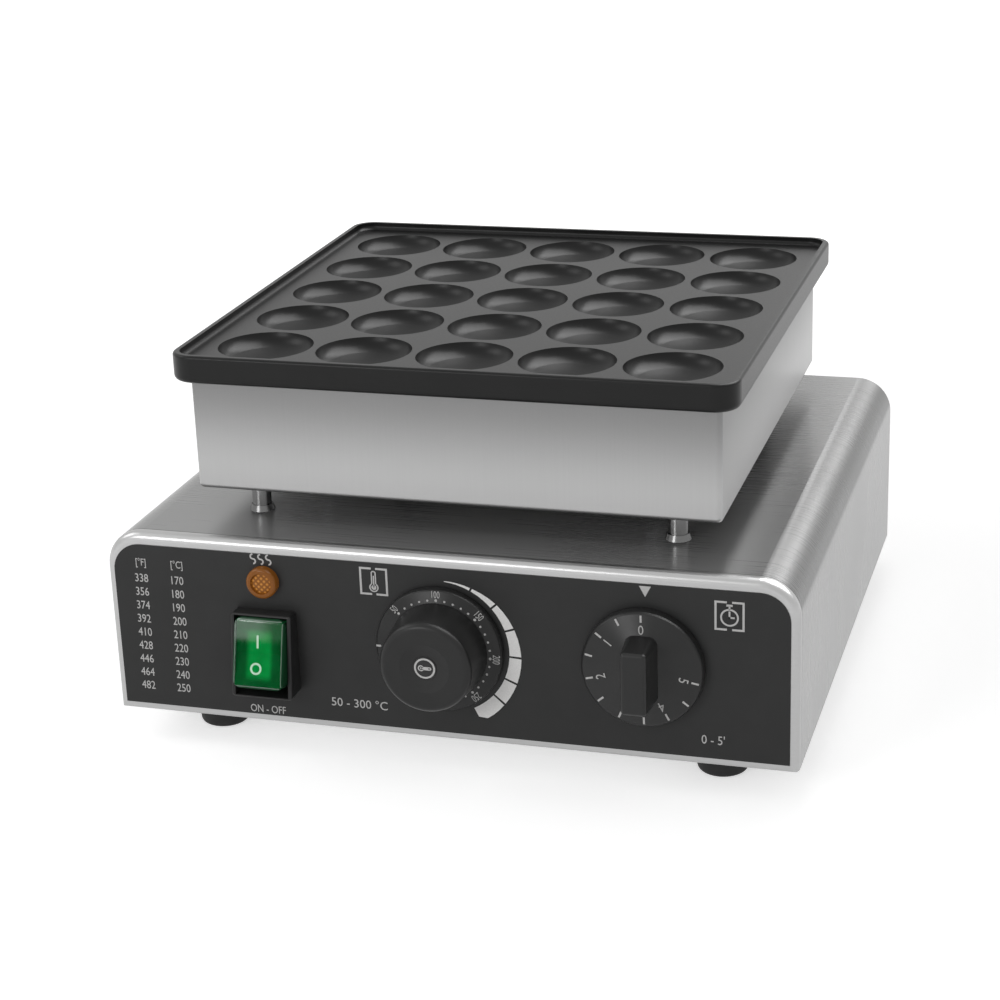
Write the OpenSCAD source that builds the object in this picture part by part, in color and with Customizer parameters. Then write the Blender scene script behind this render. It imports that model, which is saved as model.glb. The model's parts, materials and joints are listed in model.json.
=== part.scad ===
// Countertop baker for small round pancakes.
// A cast plate with a grid of shallow cups sits on a sheet metal casing, which stands on four hollow
// posts above a stainless steel base. The base holds a rocker switch, a thermostat and a timer.
// The front of the object faces -Y, and the feet stand on z = 0.

/* [Base housing] */
// Outside width of the base
base_w = 310; // [296:1:350]
// Outside depth of the base, from the front face to the back edge
base_d = 282; // [268:1:330]
// Height of the base above its bottom cover
base_h = 85.7; // [80:0.1:104]
// Thickness of the stainless steel sheet
sheet_t = 1; // [0.8:0.1:1.2]
// Outside radius of the long bends between the top and the sides
wrap_bend_r = 17; // [12:0.5:22]
// Width of the flange turned in along the bottom of each side
flange_w = 14; // [12:1:18]
// Distance of the bottom cover's edge from the sides, front and back
cover_inset = 4; // [2.5:0.5:6]
// Play between sheets that lie inside each other
sheet_fit = 0.1; // [0.05:0.05:0.2]

/* [Front panel] */
// Depth of the front panel's edge ahead of the seam
panel_lip = 5; // [4.5:0.5:8]
// Depth of the skirt that the front and rear panels push into the housing
skirt_depth = 10; // [6:1:14]
// Width of the seam between the front panel and the housing
seam_gap = 0.4; // [0.2:0.1:0.8]
// Outside radius of the rolled edge round the front panel
panel_edge_r = 3.5; // [2.5:0.25:4]
// Outside radius of the fold along the bottom of the front panel
panel_fold_r = 1; // [0.6:0.1:1.5]
// Thickness of the dark film on the front panel
overlay_t = 0.4; // [0.2:0.1:0.8]
// Bare steel between the rolled edge and the film at the sides
overlay_side_margin = 0.2; // [0.1:0.1:3]
// Bare steel between the rolled edge and the film at the top
overlay_top_margin = 2; // [0.5:0.25:4]
// Bare steel below the film, above the fold
overlay_bottom_margin = 2.2; // [0.1:0.1:3]
// Radius of the film's upper corners
overlay_corner_r = 13; // [6:0.5:16]

/* [Feet and bottom cover] */
// Height of a rubber foot
foot_h = 15; // [9:0.5:20]
// Diameter of a rubber foot at the top
foot_d = 25.5; // [18:0.5:30]
// How much narrower a foot's radius is at the floor
foot_taper = 1.5; // [0.5:0.25:2.5]
// Rounding of a foot's lower edge
foot_edge_r = 2.5; // [1:0.25:3]
// Distance of a foot's axis from the side of the base
foot_inset_x = 38; // [28:1:50]
// Distance of a foot's axis from the end of the panel's skirt
foot_setback = 15; // [5:0.5:24]
// Diameter of the screw through each foot
foot_screw_d = 4; // [3:0.5:5]
// Height of the rubber under the head of a foot screw
foot_web = 5; // [3:0.5:6]
// Diameter of the small sheet metal screws
small_screw_d = 3; // [2.5:0.5:4]
// Screws along each side of the bottom cover
cover_screws = 3; // [2:1:4]
// Length of a cooling slot in the bottom cover and the rear panel
vent_l = 34; // [20:1:40]
// Width of a cooling slot
vent_w = 4; // [3:0.5:5]
// Spacing of the cooling slots
vent_pitch = 11; // [9:0.5:13]
// Cooling slots in a row
vent_count = 9; // [5:1:11]

/* [Posts and casing] */
// Height of the open gap between the base and the casing
casing_gap = 14.3; // [13:0.1:30]
// Height of the casing
casing_h = 50.6; // [46:0.1:60]
// Outside radius of the casing's folded edges
casing_edge_r = 2; // [1.5:0.25:4]
// Outside radius of the casing's upright corners
casing_corner_r = 2.5; // [2:0.25:5]
// Distance of a post's axis from the casing's sides
post_inset_x = 22.5; // [19:0.5:30]
// Distance of a post's axis from the casing's front and back
post_inset_y = 17.5; // [15:0.5:26]
// Outside diameter of a post between the base and the casing
post_d = 8.6; // [8:0.1:10]
// Diameter of a post's threaded ends
thread_d = 7; // [6.6:0.1:7.6]
// Bore of a post, which carries the wires
post_bore = 5; // [4.5:0.1:5.4]
// Length of thread that a post has past each sheet
post_thread = 10; // [8:0.5:14]
// Diameter of the conical collar at the foot of a post
collar_d = 11.6; // [11:0.1:15]
// Height of that collar
collar_h = 2.6; // [2:0.1:5]
// Wall of the collar at its upper edge
collar_lip = 0.5; // [0.3:0.1:1]
// Width across the flats of the nuts on the posts
post_nut_af = 13; // [12:0.5:16]
// Height of the nuts on the posts
post_nut_h = 5; // [3:0.5:6]
// Radial play of nuts and collars, whose threads are drawn plain
thread_play = 0.05; // [0.02:0.01:0.1]

/* [Baking plate] */
// Cups along each side of the plate
cups = 5; // [4:1:5]
// Spacing of the cups
cup_pitch = 46; // [45.5:0.25:48]
// Diameter of a cup at the plate's surface
cup_d = 42.5; // [38:0.25:43.5]
// Depth of a cup
cup_depth = 9; // [8:0.25:10]
// Slope of a cup's wall at the plate's surface
cup_slope = 78; // [70:1:84]
// Radius between a cup's wall and its shallow floor
knuckle_r = 8; // [6:0.1:8.5]
// Metal under the deepest point of a cup
cup_floor = 6; // [4:0.25:8]
// Flat margin between the outer cups and the rim
tray_margin = 9.4; // [6:0.1:10]
// Depth of the flat below the top of the rim
tray_depth = 3.7; // [3:0.1:6]
// Width of the rim
rim_w = 3; // [2.5:0.25:5]
// Height of the rim
rim_h = 12.6; // [9:0.1:16]
// How far the rim stands out past the casing
rim_overhang = 7.6; // [4:0.1:9]
// Radius of the rim's corners seen from above
rim_corner_r = 11; // [8:0.5:14]
// Rounding of the rim's upper edge
rim_top_r = 1.4; // [0.8:0.1:1.6]
// Rounding of the rim's lower edge
rim_bottom_r = 2.5; // [1:0.25:3]
// Rounding at the foot of the rim, inside
tray_fillet_r = 2; // [1:0.25:2.5]
// Play between the plate's core and the casing walls
core_play = 2.5; // [1.5:0.25:4]

/* [Heating] */
// Diameter of the tubular element
element_d = 7; // [6:0.5:8]
// Passes of the element under the plate
element_runs = 6; // [4:2:6]
// Straight half length of each pass
element_reach = 85; // [80:1:88]
// Where the element's sheath ends, behind the middle
element_end_y = 62; // [50:1:66]
// Length of the ceramic bead on each end of the element
bead_l = 9; // [6:0.5:10]
// Length of the terminal pin past the bead
pin_l = 9; // [6:0.5:10]
// Diameter of a terminal pin
pin_d = 4; // [3:0.25:5]
// Thickness of the plate that clamps the element
clamp_t = 1.5; // [1:0.25:2.5]
// Diameter of the bosses under the plate
boss_d = 13; // [11:0.5:14]
// Distance of the bosses from the middle, front to back
boss_y = 66; // [60:1:72]
// Diameter of the studs in the bosses
stud_d = 5; // [4:0.5:6]
// Depth of a stud in the plate, past the boss
stud_grip = 1.5; // [0.5:0.25:2]
// Length of a stud below the casing's floor
stud_tail = 6; // [5:0.5:8]
// Play between things that are pressed together with no fit
contact_play = 0.1; // [0.05:0.05:0.2]
// Diameter of the thermostat's bulb
bulb_d = 6; // [5:0.25:6.5]
// Length of the thermostat's bulb
bulb_l = 84; // [60:1:100]
// Width of the clip that holds the bulb
clip_w = 12; // [8:1:16]
// Thickness of that clip
clip_t = 1.2; // [0.8:0.1:1.5]
// Outside diameter of the capillary tube
capillary_d = 2; // [1.5:0.25:2.5]
// Air between the insulation and the clamp nuts
pad_air = 2; // [1:0.5:4]

/* [Control positions] */
// Height of both knobs above the bottom of the base
knob_height = 43.6; // [36:0.1:46]
// Distance of the temperature knob from the middle
temperature_x = 0; // [-8:0.5:6]
// Distance of the timer knob from the right side of the base
timer_inset = 65.5; // [59:0.5:71]
// Distance of the switch from the left side of the base
switch_inset = 75; // [70:0.5:80]
// Height of the switch above the bottom of the base
switch_height = 35.6; // [30:0.1:38]
// Height of the pilot lamp above the bottom of the base
lamp_height = 67.7; // [64:0.1:70]

/* [Temperature knob] */
// Diameter of the dial skirt
dial_d = 56.5; // [52:0.5:62]
// Thickness of the dial skirt
dial_t = 3.2; // [2.5:0.1:4]
// Diameter of the knob where it leaves the skirt
knob_foot_d = 44; // [41:0.5:47]
// Diameter of the knob at its rounded front edge
knob_front_d = 41; // [38:0.5:44]
// Height of the knob above the skirt
knob_h = 19.6; // [16:0.2:24]
// Rounding of the knob's front edge
knob_edge_r = 3; // [1:0.25:4]
// Diameter of the dish in the knob's face
dish_d = 22; // [16:0.5:26]
// Depth of the dish
dish_depth = 1.6; // [0.8:0.1:2]
// Diameter of the disc in the dish
cap_d = 10.5; // [8:0.25:12]
// Height of that disc above the bottom of the dish
cap_h = 0.7; // [0.4:0.1:1]
// Depth of that disc's seat below the bottom of the dish
cap_seat = 0.8; // [0.4:0.1:1]
// Wall of the hollow moulding behind the knob's face
knob_wall = 2.8; // [2:0.2:3.5]
// Diameter of the hub round the shaft
hub_d = 13; // [11:0.5:15]
// Ribs between the hub and the wall
knob_ribs = 6; // [3:1:8]
// Thickness of a rib
rib_t = 1.8; // [1.2:0.1:2.5]
// Height of the ribs' ends above the recess for the screw heads
rib_setback = 1; // [0.5:0.25:2]

/* [Timer knob] */
// Diameter of the timer disc
disc_d = 52.5; // [48:0.5:58]
// Thickness of the timer disc
disc_t = 4.6; // [4.2:0.1:6]
// Rounding of the disc's front edge
disc_edge_r = 1.2; // [0.6:0.1:2]
// Length of the grip bar at the disc
grip_l = 31; // [26:0.5:36]
// Width of the grip bar at the disc
grip_w = 14; // [12:0.5:18]
// How far each side of the bar leans in on its way to the front
grip_draft = 1.4; // [0.5:0.1:2]
// Height of the grip bar above the disc
grip_h = 16; // [12:0.5:20]
// Rounding of the bar's upright corners
grip_corner_r = 4; // [2:0.25:5]
// Rounding of the bar's front edge
grip_edge_r = 1.8; // [1:0.1:2.5]

/* [Shafts and mechanisms] */
// Gap between the film and the back of a knob
knob_gap = 0.8; // [0.5:0.1:1.5]
// Diameter of both control shafts
shaft_d = 6; // [5:0.25:7]
// Radial running play of the shafts in their bushes
shaft_play = 0.05; // [0.03:0.01:0.08]
// Depth of the flat on a shaft
shaft_flat = 1.2; // [0.8:0.1:1.6]
// Length of a shaft inside its knob
shaft_in_knob = 13; // [10:0.5:14]
// Length of a shaft inside its mechanism
shaft_in_body = 12; // [8:1:16]
// Diameter of the threaded bush round a shaft
bush_d = 10; // [9:0.5:12]
// Spacing of the two screws that hold a mechanism
control_screw_spacing = 28; // [26:0.5:30]
// Height of those screws' heads
control_head_h = 2; // [1.6:0.1:2.4]
// Room left round the screw heads behind a knob
head_room = 0.8; // [0.5:0.1:1.2]
// Width and height of the thermostat's body
thermostat_size = 38; // [36:1:44]
// Depth of the thermostat's body
thermostat_depth = 27; // [22:1:30]
// Width of the timer's body
timer_w = 46; // [38:1:50]
// Depth of the timer's body
timer_depth = 32; // [26:1:36]

/* [Rocker switch] */
// Width of the switch bezel
bezel_w = 28.2; // [27:0.1:30]
// Height of the switch bezel
bezel_l = 37.8; // [37.4:0.1:42]
// How far the bezel's front stands out from the film, halfway up
bezel_h = 9.3; // [8:0.1:11]
// Slope of the bezel's front, which stands further out at its lower end
bezel_lean = 7.5; // [0:0.5:9]
// Rounding of the bezel's edges
bezel_r = 1.6; // [0.8:0.1:2]
// Width of the opening in the bezel
mouth_w = 24.8; // [24.4:0.1:25.2]
// Height of the opening in the bezel
mouth_l = 36; // [35.6:0.1:36.6]
// Height of the switch body behind the panel
switch_body_l = 34.6; // [33:0.1:35.5]
// Wall of the switch body behind the panel
switch_wall = 0.8; // [0.6:0.1:0.9]
// Depth of the switch body behind the panel
switch_depth = 20; // [16:0.5:26]
// Width of the rocker
rocker_w = 21.6; // [19:0.1:21.8]
// Length of the rocker
rocker_l = 29.2; // [27:0.1:29.4]
// Distance from the pivot to the rocker's ends, outwards
rocker_rise = 9.8; // [8.5:0.1:10.2]
// Depth of the shallow fold across the rocker's face
rocker_fold = 1.2; // [0.6:0.1:2]
// Tilt of the rocker to each side of its middle
rocker_tilt = 15; // [10:0.5:16]
// Height of the pivot above the film
pivot_height = 2.2; // [1.8:0.1:2.6]
// Diameter of the pivot pins
pivot_d = 4; // [3:0.1:4.2]
// Depth of the pivot pins in the bezel's walls
pivot_depth = 0.8; // [0.6:0.1:1]
// Radial running play of the pivot pins
pivot_play = 0.06; // [0.03:0.01:0.1]
// Wall of the clear boot
boot_t = 0.9; // [0.6:0.1:1]
// Gap between the rocker and the boot
boot_gap = 0.3; // [0.2:0.05:0.5]
// Radius of the boot's corners
boot_corner_r = 4; // [3:0.25:5]
// Rounding of the boot's front edge
boot_edge_r = 2; // [1:0.25:2.4]
// Width of a spade terminal
spade_w = 6.3; // [4.8:0.1:6.5]
// Thickness of a spade terminal
spade_t = 0.8; // [0.6:0.1:1]
// Length of a spade terminal behind its body
spade_l = 9; // [7:0.5:11]
// Spacing of the switch's spades, side to side
spade_pitch_x = 10; // [8:0.5:12]
// Spacing of the switch's spades, top to bottom
spade_pitch_z = 20; // [16:0.5:24]

/* [Pilot lamp] */
// Diameter of the lens
lens_d = 14.2; // [13:0.1:16]
// Height of the lens above the film
lens_h = 4.2; // [3:0.1:6]
// Rounding of the lens edge
lens_edge_r = 1.6; // [1:0.1:2.4]
// Diameter of the face sunk into the lens
lens_face_d = 9.6; // [8:0.1:10]
// Depth of that face at its edge
lens_sink = 1.2; // [0.6:0.1:2]
// Rise of the sunk face at its middle
lens_dome = 0.7; // [0.3:0.1:1]
// Diameter of the lamp body behind the panel
lamp_d = 11; // [9:0.25:12]
// Depth of the lamp body behind the panel
lamp_depth = 22; // [16:1:26]
// Diameter of the push-on clip behind the panel
lamp_clip_d = 17; // [15:0.5:18]
// Thickness of that clip
lamp_clip_t = 2; // [1:0.25:3]

/* [Supply] */
// Distance of the cord gland from the left side of the base
gland_inset = 41; // [33:1:47]
// Height of the cord gland above the bottom of the base
gland_height = 22; // [18:0.5:28]
// Diameter of the gland's thread
gland_d = 16; // [12:0.5:20]
// Bore of the gland
gland_bore = 7.2; // [6:0.2:9]
// Width across the flats of the gland
gland_af = 20; // [18:0.5:26]
// Length of the gland behind the rear panel
gland_l = 19; // [14:1:24]
// Length of the gland's thread inside the base
gland_thread = 10; // [8:0.5:14]
// Width of the terminal block
block_w = 38; // [34:1:46]
// Depth of the terminal block
block_d = 18; // [16:1:24]
// Height of the terminal block
block_h = 20; // [18:1:24]
// Distance of the terminal block from the back of the base
block_inset = 52; // [46:1:70]
// Outside diameter of a wire
wire_d = 2.6; // [2:0.1:3]
// Radius of the bends in the wires
wire_bend_r = 7; // [5:0.5:8]

/* [Hidden] */
$fn = 72;
// Overlap of a cutting shape past the face that it cuts
cut = 0.5;
hull_fn = 32;
wire_sides = 8;
bend_steps = 5;

// Levels
cover_z = foot_h;
base_z = cover_z + sheet_t;
base_top = base_z + base_h;
casing_z = base_top + casing_gap;
floor_top = casing_z + sheet_t;
plate_z = casing_z + casing_h;
rim_top = plate_z + rim_h;
tray_z = rim_top - tray_depth;
core_z = tray_z - cup_depth - cup_floor;
element_z = core_z - contact_play - element_d / 2;
clamp_z = core_z - 2 * contact_play - element_d - clamp_t;
foot_inset_y = panel_lip + skirt_depth + foot_setback;
front_y = -base_d / 2;
thermostat_back = front_y + sheet_t + thermostat_depth;
back_y = base_d / 2;

// Plate and casing
cup_span = (cups - 1) * cup_pitch;
tray_w = cup_span + cup_d + 2 * tray_margin;
plate_w = tray_w + 2 * rim_w;
casing_w = plate_w - 2 * rim_overhang;
core_w = casing_w - 2 * sheet_t - 2 * core_play;
core_corner_r = casing_corner_r + core_play;
post_x = casing_w / 2 - post_inset_x;
post_y = casing_w / 2 - post_inset_y;
// Centre of the turn in a cup's wall, and the ball of its floor, which runs into it
knuckle_x = cup_d / 2 - knuckle_r * sin(cup_slope);
knuckle_z = knuckle_r * cos(cup_slope);
knuckle_h = cup_depth + knuckle_z;
cup_ball_r = (pow(knuckle_x, 2) + pow(knuckle_h, 2) - pow(knuckle_r, 2)) / (2 * (knuckle_h - knuckle_r));
cup_ball_z = cup_ball_r - cup_depth;
cup_floor_r = cup_ball_r * knuckle_x / (cup_ball_r - knuckle_r);

// Element and what hangs under the plate
run_pitch = 2 * post_x / (element_runs - 1);
run_bend_r = run_pitch / 2 - cut;
boss_x = post_x - run_pitch / 2;
clamp_w = 2 * (post_x - element_d / 2 - 2 * contact_play - clamp_t);
clamp_l = 2 * element_reach;
stud_nut_af = stud_d * 1.6;
stud_nut_h = stud_d * 0.8;
pin_end_y = element_end_y + bead_l + pin_l;
bulb_x = -(element_runs % 4 == 2 ? post_x - 1.5 * run_pitch : 1.5 * run_pitch);
clip_span = bulb_d + 2 * clip_t;
pad_w = 2 * (post_x - post_nut_af / cos(30) / 2 - pad_air);
pad_l = 2 * (post_y - post_nut_af / cos(30) / 2 - pad_air);
pad_top = clamp_z - stud_nut_h - pad_air;

// Front panel and controls
skirt_inset = sheet_t + sheet_fit;
wrap_front_y = front_y + panel_lip + seam_gap;
overlay_bottom = base_z + panel_fold_r + overlay_bottom_margin;
overlay_top = base_top - panel_edge_r - overlay_top_margin;
overlay_w = base_w - 2 * (panel_edge_r + overlay_side_margin);
knob_z = base_z + knob_height;
switch_z = base_z + switch_height;
lamp_z = base_z + lamp_height;
timer_x = base_w / 2 - timer_inset;
switch_x = base_w / 2 - switch_inset;
lamp_x = switch_x;
knob_back = overlay_t + knob_gap;
bush_front = overlay_t + knob_gap / 2;
control_head_d = shaft_d * 1.2;
control_screw_d = shaft_d * 0.6;
pocket_in = control_screw_spacing / 2 - control_head_d / 2 - head_room;
pocket_out = control_screw_spacing / 2 + control_head_d / 2 + head_room;
pocket_depth = overlay_t + control_head_h + head_room - knob_back;
pivot_z = overlay_t + pivot_height;
switch_body_w = mouth_w + 2 * switch_wall;
switch_back = sheet_t + switch_depth;
spade_end_y = front_y + switch_back + spade_l;
dish_ball_r = (dish_d * dish_d / 4 + dish_depth * dish_depth) / (2 * dish_depth);
knob_front = knob_back + dial_t + knob_h;
cap_z = knob_front - dish_depth - cap_seat;

// Supply
block_y = back_y - block_inset;
block_hole_z = base_z + block_h / 2;
pole_pitch = block_w / 3.8;
gland_x = base_w / 2 - gland_inset;
gland_z = base_z + gland_height;

// The origin lies under the middle of the whole object, from the knob's face to the gland's end
reach_front = front_y - max(knob_front, knob_back + disc_t + grip_h);
reach_back = back_y + gland_l;
frame_y = -(reach_front + reach_back) / 2;

module in_frame() {
    translate([0, frame_y, 0])
        children();
}

// Places a shape on the front panel: x to the right, y up and z towards the viewer
module on_panel(x, z) {
    translate([x, front_y, z])
        rotate([90, 0, 0])
            children();
}

module at_corners(x, y) {
    for (sx = [-1, 1], sy = [-1, 1])
        translate([sx * x, sy * y, 0])
            children();
}

module ring(outer, inner, h) {
    difference() {
        cylinder(d = outer, h = h);
        translate([0, 0, -cut])
            cylinder(d = inner, h = h + 2 * cut);
    }
}

module hex_nut(af, bore, h) {
    difference() {
        cylinder(d = af / cos(30), h = h, $fn = 6);
        translate([0, 0, -cut])
            cylinder(d = bore, h = h + 2 * cut);
    }
}

// Round-headed screw, with its head below z = 0 and its shank above
module headed_screw(d, l, head_d, head_h) {
    cylinder(d = d, h = l);
    rotate([180, 0, 0])
        rotate_extrude() {
            square([head_d / 2 - head_h / 2, head_h]);
            translate([head_d / 2 - head_h / 2, 0])
                square([head_h / 2, head_h / 2]);
            translate([head_d / 2 - head_h / 2, head_h / 2])
                quarter_disc(head_h / 2);
        }
}

module quarter_disc(r) {
    intersection() {
        circle(r);
        square(r);
    }
}

// Rectangle that stands on y = 0, with its two upper corners rounded
module arch_section(w, h, r) {
    translate([-w / 2, 0])
        square([w, h - r]);
    translate([r - w / 2, h - r])
        square([w - 2 * r, r]);
    for (side = [0, 1])
        mirror([side, 0])
            translate([w / 2 - r, h - r])
                quarter_disc(r);
}

// Outline of the base seen from the front, drawn in by an inset all round
module base_outline(inset) {
    translate([0, base_z + inset])
        arch_section(base_w - 2 * inset, base_h - 2 * inset, wrap_bend_r - inset);
}

module rounded_rectangle(w, l, r) {
    translate([-w / 2, r - l / 2])
        square([w, l - 2 * r]);
    for (up = [0, 1])
        mirror([0, up]) {
            translate([r - w / 2, l / 2 - r])
                square([w - 2 * r, r]);
            for (side = [0, 1])
                mirror([side, 0])
                    translate([w / 2 - r, l / 2 - r])
                        quarter_disc(r);
        }
}

// Slot with round ends, lying along x
module slot_outline(l, w) {
    square([l - w, w], center = true);
    for (side = [0, 1])
        mirror([side, 0])
            translate([(l - w) / 2, 0])
                intersection() {
                    circle(d = w);
                    translate([0, -w / 2])
                        square([w, w]);
                }
}

// Edge of a slab, from its inside at x = 0 to its outer face, with both outer corners rounded
module slab_edge(w, h, top_r, bottom_r) {
    translate([0, bottom_r])
        square([w, h - top_r - bottom_r]);
    if (top_r > 0) {
        translate([0, h - top_r])
            square([w - top_r, top_r]);
        translate([w - top_r, h - top_r])
            quarter_disc(top_r);
    }
    if (bottom_r > 0) {
        square([w - bottom_r, bottom_r]);
        translate([w - bottom_r, bottom_r])
            mirror([0, 1])
                quarter_disc(bottom_r);
    }
}

// Slab with rounded corners and rounded upper and lower edges
module rounded_slab(w, l, h, corner_r, top_r, bottom_r) {
    x = w / 2 - corner_r;
    y = l / 2 - corner_r;
    translate([-x, -y, 0])
        cube([2 * x, 2 * y, h]);
    for (side = [0, 1]) {
        mirror([side, 0, 0])
            translate([x, y, 0])
                rotate([90, 0, 0])
                    linear_extrude(2 * y)
                        slab_edge(corner_r, h, top_r, bottom_r);
        mirror([0, side, 0])
            translate([-x, y, 0])
                rotate([90, 0, 90])
                    linear_extrude(2 * x)
                        slab_edge(corner_r, h, top_r, bottom_r);
    }
    for (turn = [0:3])
        translate([(turn == 0 || turn == 3 ? 1 : -1) * x, (turn < 2 ? 1 : -1) * y, 0])
            rotate(90 * turn)
                rotate_extrude(angle = 90)
                    slab_edge(corner_r, h, top_r, bottom_r);
}

// Block with the arched outline of the base, whose front edge is rolled along the top and sides
module rolled_block(w, h, corner_r, depth, edge_r) {
    x = w / 2 - corner_r;
    y = h - corner_r;
    translate([-x, 0, 0])
        cube([2 * x, y, depth]);
    translate([-x, y, 0])
        rotate([90, 0, 90])
            linear_extrude(2 * x)
                slab_edge(corner_r, depth, edge_r, 0);
    for (side = [0, 1])
        mirror([side, 0, 0])
            translate([x, y, 0]) {
                rotate([90, 0, 0])
                    linear_extrude(y)
                        slab_edge(corner_r, depth, edge_r, 0);
                rotate_extrude(angle = 90)
                    slab_edge(corner_r, depth, edge_r, 0);
            }
}

function unit(v) = v / norm(v);

// Turns the z axis to a direction
module along(start, dir) {
    side = abs(dir.z) > 0.9 ? [1, 0, 0] : unit(cross([0, 0, 1], dir));
    x = unit(side - dir * (side * dir));
    y = cross(dir, x);
    multmatrix([
        [x.x, y.x, dir.x, start.x],
        [x.y, y.y, dir.y, start.y],
        [x.z, y.z, dir.z, start.z]
    ])
        children();
}

// Part of a ring that leaves the point p along u and turns towards v
module elbow(p, u, v, d, bend_r) {
    turn = acos(u * v);
    inwards = unit(v - u * (u * v));
    centre = p - u * bend_r * tan(turn / 2) + inwards * bend_r;
    axis = cross(u, inwards);
    multmatrix([
        [-inwards.x, u.x, axis.x, centre.x],
        [-inwards.y, u.y, axis.y, centre.y],
        [-inwards.z, u.z, axis.z, centre.z]
    ])
        rotate_extrude(angle = turn)
            translate([bend_r, 0])
                circle(d = d);
}

// Round rod along straight runs, with a true bend at each inner point
module bent_rod(points, d, bend_r) {
    last = len(points) - 1;
    dirs = [for (i = [0:last - 1]) unit(points[i + 1] - points[i])];
    trims = [for (i = [0:last]) i == 0 || i == last ? 0 : bend_r * tan(acos(dirs[i - 1] * dirs[i]) / 2)];
    for (i = [0:last - 1])
        along(points[i] + dirs[i] * trims[i], dirs[i])
            cylinder(d = d, h = norm(points[i + 1] - points[i]) - trims[i] - trims[i + 1]);
    for (i = [1:1:last - 1])
        elbow(points[i], dirs[i - 1], dirs[i], d, bend_r);
}

// Points of a route whose corners are turned into arcs
function rounded_route(points, bend_r) = [
    for (i = [0:len(points) - 1])
        if (i == 0 || i == len(points) - 1)
            points[i]
        else
            let (
                u = unit(points[i] - points[i - 1]),
                v = unit(points[i + 1] - points[i]),
                turn = acos(u * v),
                inwards = unit(v - u * (u * v)),
                centre = points[i] - u * bend_r * tan(turn / 2) + inwards * bend_r
            )
                each [
                    for (k = [0:bend_steps])
                        let (a = turn * k / bend_steps)
                            centre + bend_r * (u * sin(a) - inwards * cos(a))
                ]
];

function tangents(path) = [
    for (i = [0:len(path) - 1])
        unit(path[min(i + 1, len(path) - 1)] - path[max(i - 1, 0)])
];

// Sideways directions along a path, each turned as little as possible from the one before
function sideways(dirs, i = 0, previous = [1, 0, 0]) =
    let (
        start = i > 0 ? previous : abs(dirs[0].x) > 0.9 ? [0, 0, 1] : [1, 0, 0],
        side = unit(start - dirs[i] * (start * dirs[i]))
    )
        i == len(dirs) - 1 ? [side] : concat([side], sideways(dirs, i + 1, side));

// Flexible wire of a fixed diameter along a route
module wire(points) {
    path = rounded_route(points, wire_bend_r);
    dirs = tangents(path);
    sides = sideways(dirs);
    last = len(path) - 1;
    rings = [
        for (i = [0:last], k = [0:wire_sides - 1])
            let (a = 360 * k / wire_sides)
                path[i] + wire_d / 2 * (sides[i] * cos(a) + cross(dirs[i], sides[i]) * sin(a))
    ];
    walls = [
        for (i = [0:last - 1], k = [0:wire_sides - 1])
            let (
                a = i * wire_sides + k,
                b = i * wire_sides + (k + 1) % wire_sides
            )
                each [[a, a + wire_sides, b], [b, a + wire_sides, b + wire_sides]]
    ];
    ends = [
        for (k = [1:wire_sides - 2])
            each [
                [0, k, k + 1],
                [last * wire_sides, last * wire_sides + k + 1, last * wire_sides + k]
            ]
    ];
    polyhedron(rings, concat(walls, ends));
}

module vent_row(l) {
    for (i = [0:vent_count - 1])
        translate([(i - (vent_count - 1) / 2) * vent_pitch, 0])
            rotate(90)
                slot_outline(l, vent_w);
}

// Base housing

module base_shell() {
    color("silver")
        difference() {
            translate([0, back_y, 0])
                rotate([90, 0, 0])
                    linear_extrude(back_y - wrap_front_y)
                        difference() {
                            base_outline(0);
                            base_outline(sheet_t);
                            translate([flange_w - base_w / 2, base_z - cut])
                                square([base_w - 2 * flange_w, sheet_t + 2 * cut]);
                        }
            at_corners(post_x, post_y)
                translate([0, 0, base_top - sheet_t - cut])
                    cylinder(d = thread_d + 2 * thread_play, h = sheet_t + 2 * cut);
            cover_screw_places()
                translate([0, 0, base_z - cut])
                    cylinder(d = small_screw_d + 2 * thread_play, h = sheet_t + 2 * cut);
        }
}

module front_panel() {
    color("gainsboro")
        difference() {
            union() {
                difference() {
                    intersection() {
                        on_panel(0, base_z)
                            translate([0, 0, -panel_lip])
                                rolled_block(base_w, base_h, wrap_bend_r, panel_lip, panel_edge_r);
                        translate([-base_w, front_y, base_z])
                            rotate([90, 0, 90])
                                linear_extrude(2 * base_w)
                                    translate([panel_fold_r, 0]) {
                                        square([base_d, 2 * base_h]);
                                        translate([-panel_fold_r, panel_fold_r])
                                            square([panel_fold_r, 2 * base_h]);
                                        translate([0, panel_fold_r])
                                            rotate(180)
                                                quarter_disc(panel_fold_r);
                                    }
                    }
                    on_panel(0, base_z + sheet_t)
                        translate([0, 0, -panel_lip - cut])
                            rolled_block(
                                base_w - 2 * sheet_t,
                                base_h - 2 * sheet_t,
                                wrap_bend_r - sheet_t,
                                panel_lip + cut - sheet_t,
                                panel_edge_r - sheet_t
                            );
                }
                // The step to the skirt, and the skirt that pushes into the housing
                on_panel(0, 0) {
                    translate([0, 0, -panel_lip])
                        linear_extrude(sheet_t)
                            difference() {
                                base_outline(sheet_t / 2);
                                base_outline(skirt_inset + sheet_t);
                            }
                    translate([0, 0, -panel_lip - skirt_depth])
                        linear_extrude(skirt_depth + sheet_t / 2)
                            difference() {
                                base_outline(skirt_inset);
                                base_outline(skirt_inset + sheet_t);
                            }
                }
            }
            control_holes(sheet_t);
        }
}

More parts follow.
